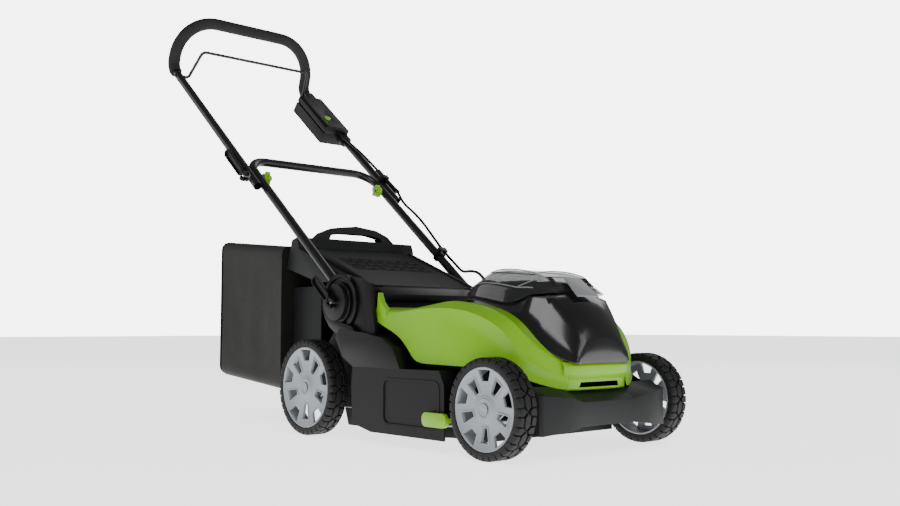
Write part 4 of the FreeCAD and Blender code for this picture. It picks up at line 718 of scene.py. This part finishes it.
def hood_shell():
    """The gloss hood as one smooth skin, cut open where the batteries go in, with its two hinge ears."""
    shell = skin("hood", HOOD_ROWS, rings=(0, 1, 2), levels=2, crease=0.85, hard_rows=(4, 5, 8))
    mouth = slab("mouth", [at(x, y, 262) for x, y in ((-172, -75.5), (-42, -75.5), (-42, 75.5), (-172, 75.5))],
                 (0, 0, 0.1))
    cut(shell, mouth)
    pieces = [soften(shell, 0.5, 2, 50)]
    for side in (-1, 1):
        ear = [at(x, side * 60, z) for x, z in ((-217, 292), (-214, 296.5), (-209, 297), (-190, 288), (-190, 277))]
        pieces.append(soften(slab("ear", ear, (0, side * 6 * MM, 0)), 0.8))
    return join("motor_shroud.shell", *pieces)


class MOWER_OT_covers(bpy.types.Operator):
    """Builds the green cover, the gloss hood and the bumper"""
    bl_idname = "mower.covers"
    bl_label = "Covers"

    def execute(self, context):
        finished(green_cover(), FINISHES["green"], "root", "green", "top_cover")
        finished(hood_shell(), FINISHES["hood"], "root", "hood_black", "motor_shroud")
        trim_node("front_bumper", FINISHES["bumper"], 1.6, 3)
        return {"FINISHED"}


def panel_border(side):
    """The raised border round the side cover's panel."""
    face = side * 224.6
    rings = []
    for grow, out in ((0.0, 0.0), (0.6, 1.6), (3.4, 1.8), (4.4, 0.0)):
        outline = rounded_box(80 + grow, 41 + grow, 13 + grow)
        rings.append([at(-208 + x, face + side * out, 87 + z) for x, z in outline])
    wide = len(rings[0])
    points = [point for ring in rings for point in ring]
    faces = []
    for row in range(4):
        for step in range(wide):
            a, b = row * wide + step, row * wide + (step + 1) % wide
            faces.append([a, b, (b + wide) % len(points), (a + wide) % len(points)])
    return soften(outwards(new_piece("border", points, faces)), 0)


def pivot_rings(side):
    """The rim round the handle's pivot, the step of its boss and the curved fin below."""
    centre = Vector((PIVOT.x, 0, PIVOT.z))
    rim_ring = [(212, 60), (218.5, 60), (220, 58.5), (220, 53), (218.5, 51.5), (212, 51.5)]
    step = [(214, 44), (222, 44), (223.5, 42.5), (223.5, 37), (214, 37)]
    pieces = [soften(spun("ring", [(side * out, r) for out, r in profile], centre, 64), 0)
              for profile in (rim_ring, step)]
    fin = ((-495, 252), (-480, 232), (-460, 219), (-436, 210), (-404, 212), (-385, 219), (-398, 231),
           (-420, 236), (-447, 243), (-470, 256), (-484, 262))
    blade = slab("fin", [at(x, side * 215, z) for x, z in fin], (0, side * 9 * MM, 0))
    return pieces + [soften(blade, 1.5)]


class MOWER_OT_deck(bpy.types.Operator):
    """Dresses the deck, its side covers and towers, and what is under them"""
    bl_idname = "mower.deck"
    bl_label = "Deck"

    def execute(self, context):
        for node in ("deck_shell", "axle_retainers", "battery_bay"):
            trim_node(node, FINISHES["deck"], 1.2)
        trim_node("hinge_bar", FINISHES["smooth"], 1.5)
        for side_name, side in SIDES:
            cover = join("side_cover_%s.panel" % side_name,
                         soften(copied("side_cover_" + side_name, "cover", whole=False), 0),
                         panel_border(side))
            finished(cover, FINISHES["deck"], "root", "deck_black", "side_cover_" + side_name)
            tower = join("side_tower_%s.ring" % side_name,
                         soften(copied("side_tower_" + side_name, "tower"), 3.0, 3), *pivot_rings(side))
            finished(tower, FINISHES["smooth"], "root", "deck_black", "side_tower_" + side_name)
        for node in ("front_axle", "rear_axle", "link_rod", "axle_nuts_front", "axle_nuts_rear", "hinge_pins",
                     "pivot_bolts", "motor_shaft", "blade_bolt", "fold_bolts"):
            trim_node(node, FINISHES["steel"], 0.4, 1)
        trim_node("height_lever", FINISHES["green"], 1.5)
        trim_node("motor", FINISHES["motor"], 1.0)
        trim_node("blade", FINISHES["blade"], 0.5, 1)
        trim_node("blade_holder", FINISHES["blade"], 0.5, 1)
        return {"FINISHED"}


LID_ROWS = [
    (-206.5, [(84, 291), (79, 292), (70, 292), (0, 292)]),
    (-206, [(86, 292.6), (80, 298), (70, 302), (0, 305)]),
    (-160, [(104, 291.4), (96, 318), (62, 343), (0, 346)]),
    (-95, [(109, 280), (100, 312), (62, 342), (0, 341)]),
    (-50, [(109, 272), (100, 304), (62, 335), (0, 335)]),
    (-16, [(101, 292), (92, 303), (62, 324), (0, 328)]),
    (8, [(84, 293), (78, 297), (52, 304), (0, 308)]),
    (8.5, [(82, 292), (77, 293), (52, 293), (0, 293)]),
]
LID_LINES = (
    ((-160, 62, 343.2), (-95, 62, 341.8), (-50, 62, 335), (-16, 62, 324.2)),
    ((-190, 86, 306), (-160, 96, 318), (-95, 100, 312), (-50, 100, 304), (-16, 92, 303)),
    ((-50, 100, 304), (-16, 62, 324.2)),
)


def on_skin(skin_piece, corners, steps=9):
    """A run of points laid on a piece's surface between its corners."""
    path = []
    for start, end in zip(corners, corners[1:]):
        for step in range(steps):
            path.append(start.lerp(end, step / steps))
    path.append(corners[-1])
    laid = []
    for point in path:
        found, place, normal, _ = skin_piece.closest_point_on_mesh(point)
        laid.append(place + normal * 0.3 * MM if found else point)
    return laid


class MOWER_OT_batteries(bpy.types.Operator):
    """Builds the two battery packs and the smoked lid with its latch plate"""
    bl_idname = "mower.batteries"
    bl_label = "Batteries"

    def execute(self, context):
        for side_name, side in SIDES:
            trim_node("battery_" + side_name, FINISHES["smooth"], 2.0, 3)
            low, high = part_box("battery_" + side_name)
            x, y = (low[0] + high[0]) / 2, (low[1] + high[1]) / 2
            button = [Vector((x + a * MM, y + b * MM, high[2] - 0.001)) for a, b in rounded_box(38, 17, 6)]
            label = soften(slab("battery_%s.button" % side_name, button, (0, 0, 0.004)), 0.8)
            finished(label, FINISHES["green"], "battery_" + side_name, "green")
        lid = soften(skin("battery_lid.shell", LID_ROWS, rings=(0, 1, 2), levels=2, wall=2.4, crease=0.8), 0)
        finished(lid, FINISHES["smoke"], "battery_lid", "smoke", "battery_lid")
        bars = []
        for side in (-1, 1):
            for run in LID_LINES:
                path = on_skin(lid, [at(x, side * y, z) for x, y, z in run])
                bars.append(sweep("line", path, [1.1] * len(path), 8))
        for x, y, z in ((-160, 62, 343.6), (-16, 62, 324.2)):
            path = on_skin(lid, [at(x, -y, z), at(x, y, z)])
            bars.append(sweep("line", path, [1.1] * len(path), 8))
        frame_lines = soften(join("battery_lid.frame", *bars), 0)
        finished(frame_lines, FINISHES["light"], "battery_lid", "panel_grey")
        ribs = [sweep("rib", [at(x, y0, z), at(x, y1, z)], [1.6, 1.6], 10)
                for x, z in ((-13, 322), (-9, 318.6), (-5, 315.2), (-1, 311.8), (3, 308.4))
                for y0, y1 in ((-56, -43), (43, 56))]
        finished(soften(join("battery_lid.grip", *ribs), 0), FINISHES["smooth"], "battery_lid", "deck_black")
        plate = [at(-4, -22, 322), at(-4, 22, 322), at(37, 30, 285.5), at(37, -30, 285.5)]
        latch = soften(slab("lid_latch.plate", plate, (2 * MM, 0, 2.5 * MM)), 0.9)
        finished(latch, FINISHES["light"], "battery_lid", "panel_grey", "lid_latch")
        return {"FINISHED"}


def cam_lever(name, start, way, side, reach):
    """A cam lever: a forked hub and a long oval handle, hollow on its outer side."""
    low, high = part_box(name)
    middle = (low[1] + high[1]) / 2 / MM
    pieces = []
    # the hub lies square to the leg, in two halves beside the cross pin's boss
    square = Vector((way.z, 0, -way.x))
    hub = start.copy()
    hub.y = middle * MM
    for end in (-1, 1):
        rings = []
        for rise, radius in ((4.6, 8), (10, 8), (11, 7)):
            ring = []
            for step in range(28):
                turn = 2 * math.pi * step / 28
                arm = way * math.cos(turn) + Vector((0, 1, 0)) * math.sin(turn)
                ring.append(hub + (square * end * rise + arm * radius) * MM)
            rings.append(ring)
        pieces.append(soften(ringed("hub", rings), 0))
    centre, half = (reach + 10) / 2, (reach - 10) / 2
    rings = []
    for shrink, out in ((2.0, -4.5), (0.0, -3.0), (0.0, 3.2), (1.2, 4.5), (3.0, 4.5), (4.0, 3.6), (4.4, -0.5)):
        outline = rounded_box(half - shrink, 11 - shrink, 10.6 - shrink)
        rings.append([along(start, way, centre + a, middle + side * out, b) for a, b in outline])
    pieces.append(soften(ringed("oval", rings), 0))
    return join(name + ".oval", *pieces)


def foam_sleeve():
    """The foam sleeve over the grip, drawn in a little at both ends where it holds the tube."""
    kink = FOLD + UPPER * 556 * MM
    lean = math.radians(18.7)
    top = kink + Vector((math.sin(lean), 0, math.cos(lean))) * 140 * MM
    foot = FOLD + UPPER * 530 * MM
    half = [Vector((point.x, -0.211, point.z)) for point in (foot, kink, top)]
    points = half + [Vector((point.x, 0.211, point.z)) for point in reversed(half)]
    path = rounded(points, (36, 108, 108, 36), 14)
    first = (path[1] - path[0]).normalized()
    last = (path[-1] - path[-2]).normalized()
    ends = (0.0, 0.0008, 0.003)
    path = ([path[0] + first * step for step in ends] + path[1:-1]
            + [path[-1] - last * step for step in reversed(ends)])
    radii = [10.7, 14.6, 16.0] + [16.0] * (len(path) - 6) + [16.0, 14.6, 10.7]
    return soften(sweep("foam_grip.sleeve", path, radii, 32), 0)


CABLE_RADIUS = 3.5


def cable_run(name, route):
    """One stretch of the cable as a smooth spline with a round section, made a mesh."""
    curve = bpy.data.curves.new(name, "CURVE")
    curve.dimensions = "3D"
    curve.bevel_depth = CABLE_RADIUS * MM
    curve.bevel_resolution = 5
    curve.resolution_u = 10
    curve.use_fill_caps = True
    spline = curve.splines.new("NURBS")
    spline.points.add(len(route) - 1)
    for place, point in zip(spline.points, route, strict=True):
        place.co = (*point, 1)
    spline.order_u = 3
    spline.use_endpoint_u = True
    piece = bpy.data.objects.new(name, curve)
    bpy.context.scene.collection.objects.link(piece)
    only(piece)
    bpy.ops.object.convert(target="MESH")
    return soften(outwards(bpy.context.view_layer.objects.active), 0)


def control_cable():
    """The control cable, in stretches that meet in the middle of a run, with a bend at each fold."""
    def up(distance, y, rise):
        return along(FOLD, UPPER, distance, y, rise)

    def low(distance, y, rise):
        return along(PIVOT, LOWER, distance, y, rise)

    stretches = (
        ("cable_upper", "upper_handle", None,
         [up(286.5, 190, 14), up(252, 191, 16), up(210, 200, 17), up(162, 208, 17.5), up(114, 211, 17),
          up(68, 213, 17.5), up(36, 213, 17)]),
        ("cable_fold_loop", "lower_handle", "upper_handle", [up(6, 213, 19), up(-22, 210, 24), low(440, 204, 22)]),
        ("cable_lower", "lower_handle", None,
         [low(404, 198, 19), low(356, 197, 25), low(308, 197, 26), low(260, 196, 22), low(206, 195, 17.5),
          low(178, 195, 17)]),
        ("cable_deck_loop", "root", "lower_handle",
         [low(132, 196, 17.5), at(-504, 180, 361), at(-456, 160, 361), at(-406, 132, 356), at(-358, 96, 349),
          at(-310, 60, 339), at(-266, 30, 322), at(-244, 14, 300), at(-240, 11, 273.5)]),
    )
    spans = {"cable_fold_loop": (low(436, 204, 22), up(4, 213, 19)),
             "cable_deck_loop": (at(-358, 96, 349), low(136, 196, 17.5))}
    meeting = None
    for index, (node, body, other, points) in enumerate(stretches):
        route = ([meeting] if meeting else []) + points
        if index + 1 < len(stretches):
            meeting = (points[-1] + stretches[index + 1][3][0]) / 2
            route = route + [meeting]
        piece = cable_run(node + ".spline", route)
        if other:
            piece.data.materials.append(FINISHES["sheath"])
            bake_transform(piece)
            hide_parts(node)
        else:
            finished(piece, FINISHES["sheath"], body, "cable", node)


class MOWER_OT_handle(bpy.types.Operator):
    """Builds the two handle tubes, the grip, the bail, the switch box, the clamps and the cable"""
    bl_idname = "mower.handle"
    bl_label = "Handle"

    def execute(self, context):
        for node in ("lower_handle", "upper_handle", "bail_bar"):
            trim_node(node, FINISHES["tube"], 0)
        for node in ("handle_knuckles", "cable_clip_upper", "cable_clip_lower"):
            trim_node(node, FINISHES["smooth"], 1.0)
        for node in ("switch_box_base", "switch_box_top"):
            trim_node(node, FINISHES["smooth"], 2.0, 3)
        for side_name, side in SIDES:
            for kind, start, way, reach in (("pivot", PIVOT, LOWER, 84), ("fold", FOLD, UPPER, 112)):
                node = "%s_lever_%s" % (kind, side_name)
                piece = cam_lever(node, start, way, side, reach)
                finished(piece, FINISHES["smooth"], node, "deck_black", node)
        for node in ("star_knob_right", "star_knob_left", "start_button"):
            trim_node(node, FINISHES["green"], 0.8)
        grip = foam_sleeve()
        finished(grip, FINISHES["foam"], "upper_handle", "foam", "foam_grip")
        control_cable()
        return {"FINISHED"}


FLAP_SLOPE = math.radians(21.3)
SIGN_FOOT = 8  # the flap's upper face, above its underside


def on_flap(back, y, rise):
    """A place on the flap, measured back from its hinge and up from its underside."""
    return at(-428 - back * math.cos(FLAP_SLOPE) + rise * math.sin(FLAP_SLOPE), y,
              309 + back * math.sin(FLAP_SLOPE) + rise * math.cos(FLAP_SLOPE))


def flap_signs():
    """Three rows of plain raised signs on the flap: a thin frame with a bar or a wedge in it."""
    pieces = []
    up = on_flap(0, 0, 0.7) - on_flap(0, 0, 0)
    for row in range(3):
        for column in range(8):
            back, y = 128 + 27 * row, -98 + 28 * column
            outer, inner = (
                [on_flap(back + a * deep, y + b * wide, SIGN_FOOT)
                 for a, b in ((-1, -1), (-1, 1), (1, 1), (1, -1))]
                for deep, wide in ((11, 12), (9.6, 10.6)))
            pieces.append(flat_frame(outer, inner, up))
            if (row + column) % 2:
                shape = [(back - 6, y - 7), (back - 6, y + 7), (back + 6, y)]
            else:
                shape = [(back - 3, y - 8), (back - 3, y + 8), (back + 4, y + 5), (back + 4, y - 5)]
            pieces.append(slab("mark", [on_flap(a, b, SIGN_FOOT) for a, b in shape], up))
    return join("rear_flap.signs", *pieces)


BAG_BACK, BAG_MIDDLE, BAG_MOUTH = -1022, -875, -728
BAG_HALF_WIDE = 185
BAG_CORNER = 20
MOUTH_HALF_WIDE, MOUTH_FOOT, MOUTH_TOP = 0.146, 0.104, 0.318


def bag_levels(x):
    """The heights of the bag's floor and of its top."""
    share = (x - BAG_BACK) / (BAG_MOUTH - BAG_BACK)
    return 111 - 27 * share, 446 - 28 * share


def bag_point(u, v, w):
    """A place on the bag from three numbers between -1 and 1, its corners rounded and its sides slack."""
    x = BAG_MIDDLE + (BAG_MOUTH - BAG_MIDDLE) * u
    low, high = bag_levels(x)
    middle, half = (low + high) / 2, (high - low) / 2
    y, z = BAG_HALF_WIDE * v, middle + half * w
    # the slack: each side hangs in a little between its wires, and the floor sags
    inner = (1 - u * u) * (1 - w * w)
    if abs(v) > 0.995:
        ripple = noise.noise(Vector((x / 60, v * 9, z / 90))) * 2.2
        y -= math.copysign(5.5 * inner - ripple * inner, v)
    if w < -0.995:
        z += 1.5 * noise.noise(Vector((x / 70, y / 70, 3))) * (1 - u * u)
    if w > 0.995:
        z -= 4.0 * (1 - v * v) * (1 - u * u)
    if u < -0.995:
        x += 5.0 * (1 - v * v) * (1 - w * w) + noise.noise(Vector((1, y / 80, z / 90))) * 1.2
    return x, y, z


def bag_cloth():
    """The cloth body of the bag: one slack, rounded shell, open at the mouth in front."""
    bpy.ops.object.select_all(action="DESELECT")
    bpy.ops.mesh.primitive_cube_add(size=2)
    piece = bpy.context.object
    piece.name = "bag_fabric.cloth"
    edit(piece)
    bpy.ops.mesh.subdivide(number_cuts=31)
    close_edit()
    for vertex in piece.data.vertices:
        u, v, w = vertex.co
        x, y, z = bag_point(u, v, w)
        # pulls the vertices near two or more faces onto a round corner
        spot = Vector((x, y, z))
        low, high = bag_levels(x)
        core = Vector((min(x, BAG_MOUTH) if x > BAG_MIDDLE else max(x, BAG_BACK + BAG_CORNER),
                       max(BAG_CORNER - BAG_HALF_WIDE, min(BAG_HALF_WIDE - BAG_CORNER, y)),
                       max(low + BAG_CORNER, min(high - BAG_CORNER, z))))
        away = spot - core
        if away.length > BAG_CORNER:
            spot = core + away.normalized() * BAG_CORNER
        vertex.co = at(*spot)
    doomed = [face.index for face in piece.data.polygons
              if face.normal.x > 0.9 and abs(face.center.y) < MOUTH_HALF_WIDE
              and MOUTH_FOOT < face.center.z < MOUTH_TOP]
    mesh = bmesh.new()
    mesh.from_mesh(piece.data)
    mesh.faces.ensure_lookup_table()
    bmesh.ops.delete(mesh, geom=[mesh.faces[index] for index in doomed], context="FACES")
    mesh.to_mesh(piece.data)
    mesh.free()
    modify(piece, "SOLIDIFY", thickness=2.2 * MM, offset=-1)
    return soften(piece, 0)


def bag_piping():
    """The corded seams round the back of the bag."""
    path = [at(-1011, y, 278.5 + z) for y, z in rounded_box(184.4, 165, 20, 8)]
    return soften(sweep("bag_fabric.piping", path, [1.9] * len(path), 10, closed=True), 0)


class MOWER_OT_grass_bag(bpy.types.Operator):
    """Builds the rear flap and the grass bag"""
    bl_idname = "mower.grass_bag"
    bl_label = "Grass bag"

    def execute(self, context):
        trim_node("rear_flap", FINISHES["grey"], 1.0)
        finished(flap_signs(), FINISHES["deck"], "rear_flap", "deck_black")
        trim_node("bag_frame", FINISHES["grey"], 2.0, 3)
        finished(bag_cloth(), FINISHES["weave"], "grass_bag", "cloth", "bag_fabric")
        finished(bag_piping(), FINISHES["weave"], "grass_bag", "cloth")
        return {"FINISHED"}


class MowerFinish(bpy.types.PropertyGroup):
    green: bpy.props.StringProperty(name="Green", description="Cover and knobs, sRGB hex", default="#74ad06")
    deck: bpy.props.StringProperty(name="Deck", description="Deck and towers, sRGB hex", default="#0a0a0b")
    hood: bpy.props.StringProperty(name="Hood", description="Motor hood, sRGB hex", default="#090a0a")
    grey: bpy.props.StringProperty(name="Grey", description="Flap and bag top, sRGB hex", default="#191a1b")
    bumper: bpy.props.StringProperty(name="Bumper", description="Front bumper, sRGB hex", default="#1b1c1d")
    wheel: bpy.props.StringProperty(name="Wheel", description="Wheel centres, sRGB hex", default="#8a8f94")
    tube: bpy.props.StringProperty(name="Tube", description="Handle tubes, sRGB hex", default="#0e0e0f")


class MOWER_OT_finishes(bpy.types.Operator):
    """Makes the materials of the mower"""
    bl_idname = "mower.finishes"
    bl_label = "Finishes"

    def execute(self, context):
        make_finishes(context.scene.mower_finish)
        return {"FINISHED"}


LIGHTS = (
    # name, place, size in metres, and which of the stage's powers it takes
    ("key", (2.2, -2.6, 3.2), 2.2, "key"),
    ("fill", (-3.4, -2.2, 2.0), 2.4, "fill"),
    ("rim", (-1.0, 3.2, 3.0), 2.4, "fill"),
    ("front", (3.8, 1.2, 1.6), 2.0, "fill"),
)
LIGHTS_AIM = Vector((0, 0, 0.35))
CAMERA_PLACE = (1218.95, -1398.19, 231.78)
AZIMUTH, ELEVATION = math.radians(48.25), math.radians(-4.29)


class MowerStage(bpy.types.PropertyGroup):
    floor: bpy.props.FloatProperty(name="Floor", description="Side of the floor", default=40, unit="LENGTH")
    lens: bpy.props.FloatProperty(name="Lens", description="Focal length of the camera", default=38.96,
                                  unit="CAMERA")
    key: bpy.props.FloatProperty(name="Key", description="Power of the key light", default=72, unit="POWER")
    fill: bpy.props.FloatProperty(name="Fill", description="Power of the fill light", default=26, unit="POWER")
    sky: bpy.props.FloatProperty(name="Sky", description="Strength of the light from all round", default=0.22)
    floor_glow: bpy.props.FloatProperty(name="Floor glow", description="Light of the floor paper", default=2.0)
    sky_shown: bpy.props.FloatProperty(name="Sky shown", description="Brightness of the background", default=6.0)


class MOWER_OT_stage(bpy.types.Operator):
    """Sets up the pale floor, the soft studio light and the camera"""
    bl_idname = "mower.stage"
    bl_label = "Stage"

    def execute(self, context):
        stage = context.scene.mower_stage
        bpy.ops.object.select_all(action="DESELECT")
        bpy.ops.mesh.primitive_plane_add(size=stage.floor, location=(0, 0, 0))
        floor = bpy.context.object
        floor.name = "studio_floor"
        floor.data.materials.append(lit_paper("lit_floor_paper", stage.floor_glow))
        world = context.scene.world or bpy.data.worlds.new("studio")
        context.scene.world = world
        world.use_nodes = True
        tree = world.node_tree
        tree.nodes.clear()
        # the camera sees the background brighter than it shines
        seen = add(tree, "ShaderNodeLightPath").outputs["Is Camera Ray"]
        strength = add(tree, "ShaderNodeMapRange", {"To Min": stage.sky, "To Max": stage.sky_shown},
                       {"Value": seen})
        back = add(tree, "ShaderNodeBackground", {"Color": (1, 1, 1, 1)},
                   {"Strength": strength.outputs["Result"]})
        add(tree, "ShaderNodeOutputWorld", (), {"Surface": back.outputs["Background"]})
        for name, place, size, power in LIGHTS:
            bpy.ops.object.light_add(type="AREA", location=place)
            light = bpy.context.object
            light.name = "soft_" + name
            light.data.size = size
            light.data.energy = getattr(stage, power)
            target = LIGHTS_AIM - Vector(place)
            light.rotation_euler = target.to_track_quat("-Z", "Y").to_euler()
        bpy.ops.object.camera_add()
        camera = bpy.context.object
        camera.name = "studio_camera"
        camera.location = at(*CAMERA_PLACE)
        forward = Vector((-math.sin(AZIMUTH) * math.cos(ELEVATION), math.cos(AZIMUTH) * math.cos(ELEVATION),
                          -math.sin(ELEVATION)))
        camera.rotation_euler = forward.to_track_quat("-Z", "Y").to_euler()
        camera.data.lens = stage.lens
        camera.data.sensor_width = 36
        context.scene.camera = camera
        return {"FINISHED"}


OPERATORS = (MOWER_OT_finishes, MOWER_OT_wheels, MOWER_OT_covers, MOWER_OT_deck, MOWER_OT_batteries,
             MOWER_OT_handle, MOWER_OT_grass_bag, MOWER_OT_stage)
GROUPS = (("mower_finish", MowerFinish), ("mower_wheels", MowerWheelSizes), ("mower_stage", MowerStage))


class MOWER_PT_build(bpy.types.Panel):
    """Lists the steps and sizes of the mower"""
    bl_idname = "MOWER_PT_build"
    bl_label = "Lawn mower"
    bl_space_type = "VIEW_3D"
    bl_region_type = "UI"
    bl_category = "Mower"

    def draw(self, context):
        for attribute, group in GROUPS:
            box = self.layout.box()
            for name in group.__annotations__:
                box.prop(getattr(context.scene, attribute), name)
        for operator in OPERATORS:
            self.layout.operator(operator.bl_idname)


def register():
    for group in GROUPS:
        bpy.utils.register_class(group[1])
        setattr(bpy.types.Scene, group[0], bpy.props.PointerProperty(type=group[1]))
    for item in OPERATORS + (MOWER_PT_build,):
        bpy.utils.register_class(item)


def unregister():
    for item in reversed(OPERATORS + (MOWER_PT_build,)):
        bpy.utils.unregister_class(item)
    for attribute, group in reversed(GROUPS):
        delattr(bpy.types.Scene, attribute)
        bpy.utils.unregister_class(group)


def main():
    register()
    for operator in OPERATORS:
        area, name = operator.bl_idname.split(".")
        getattr(getattr(bpy.ops, area), name)()


if __name__ == "__main__":
    main()
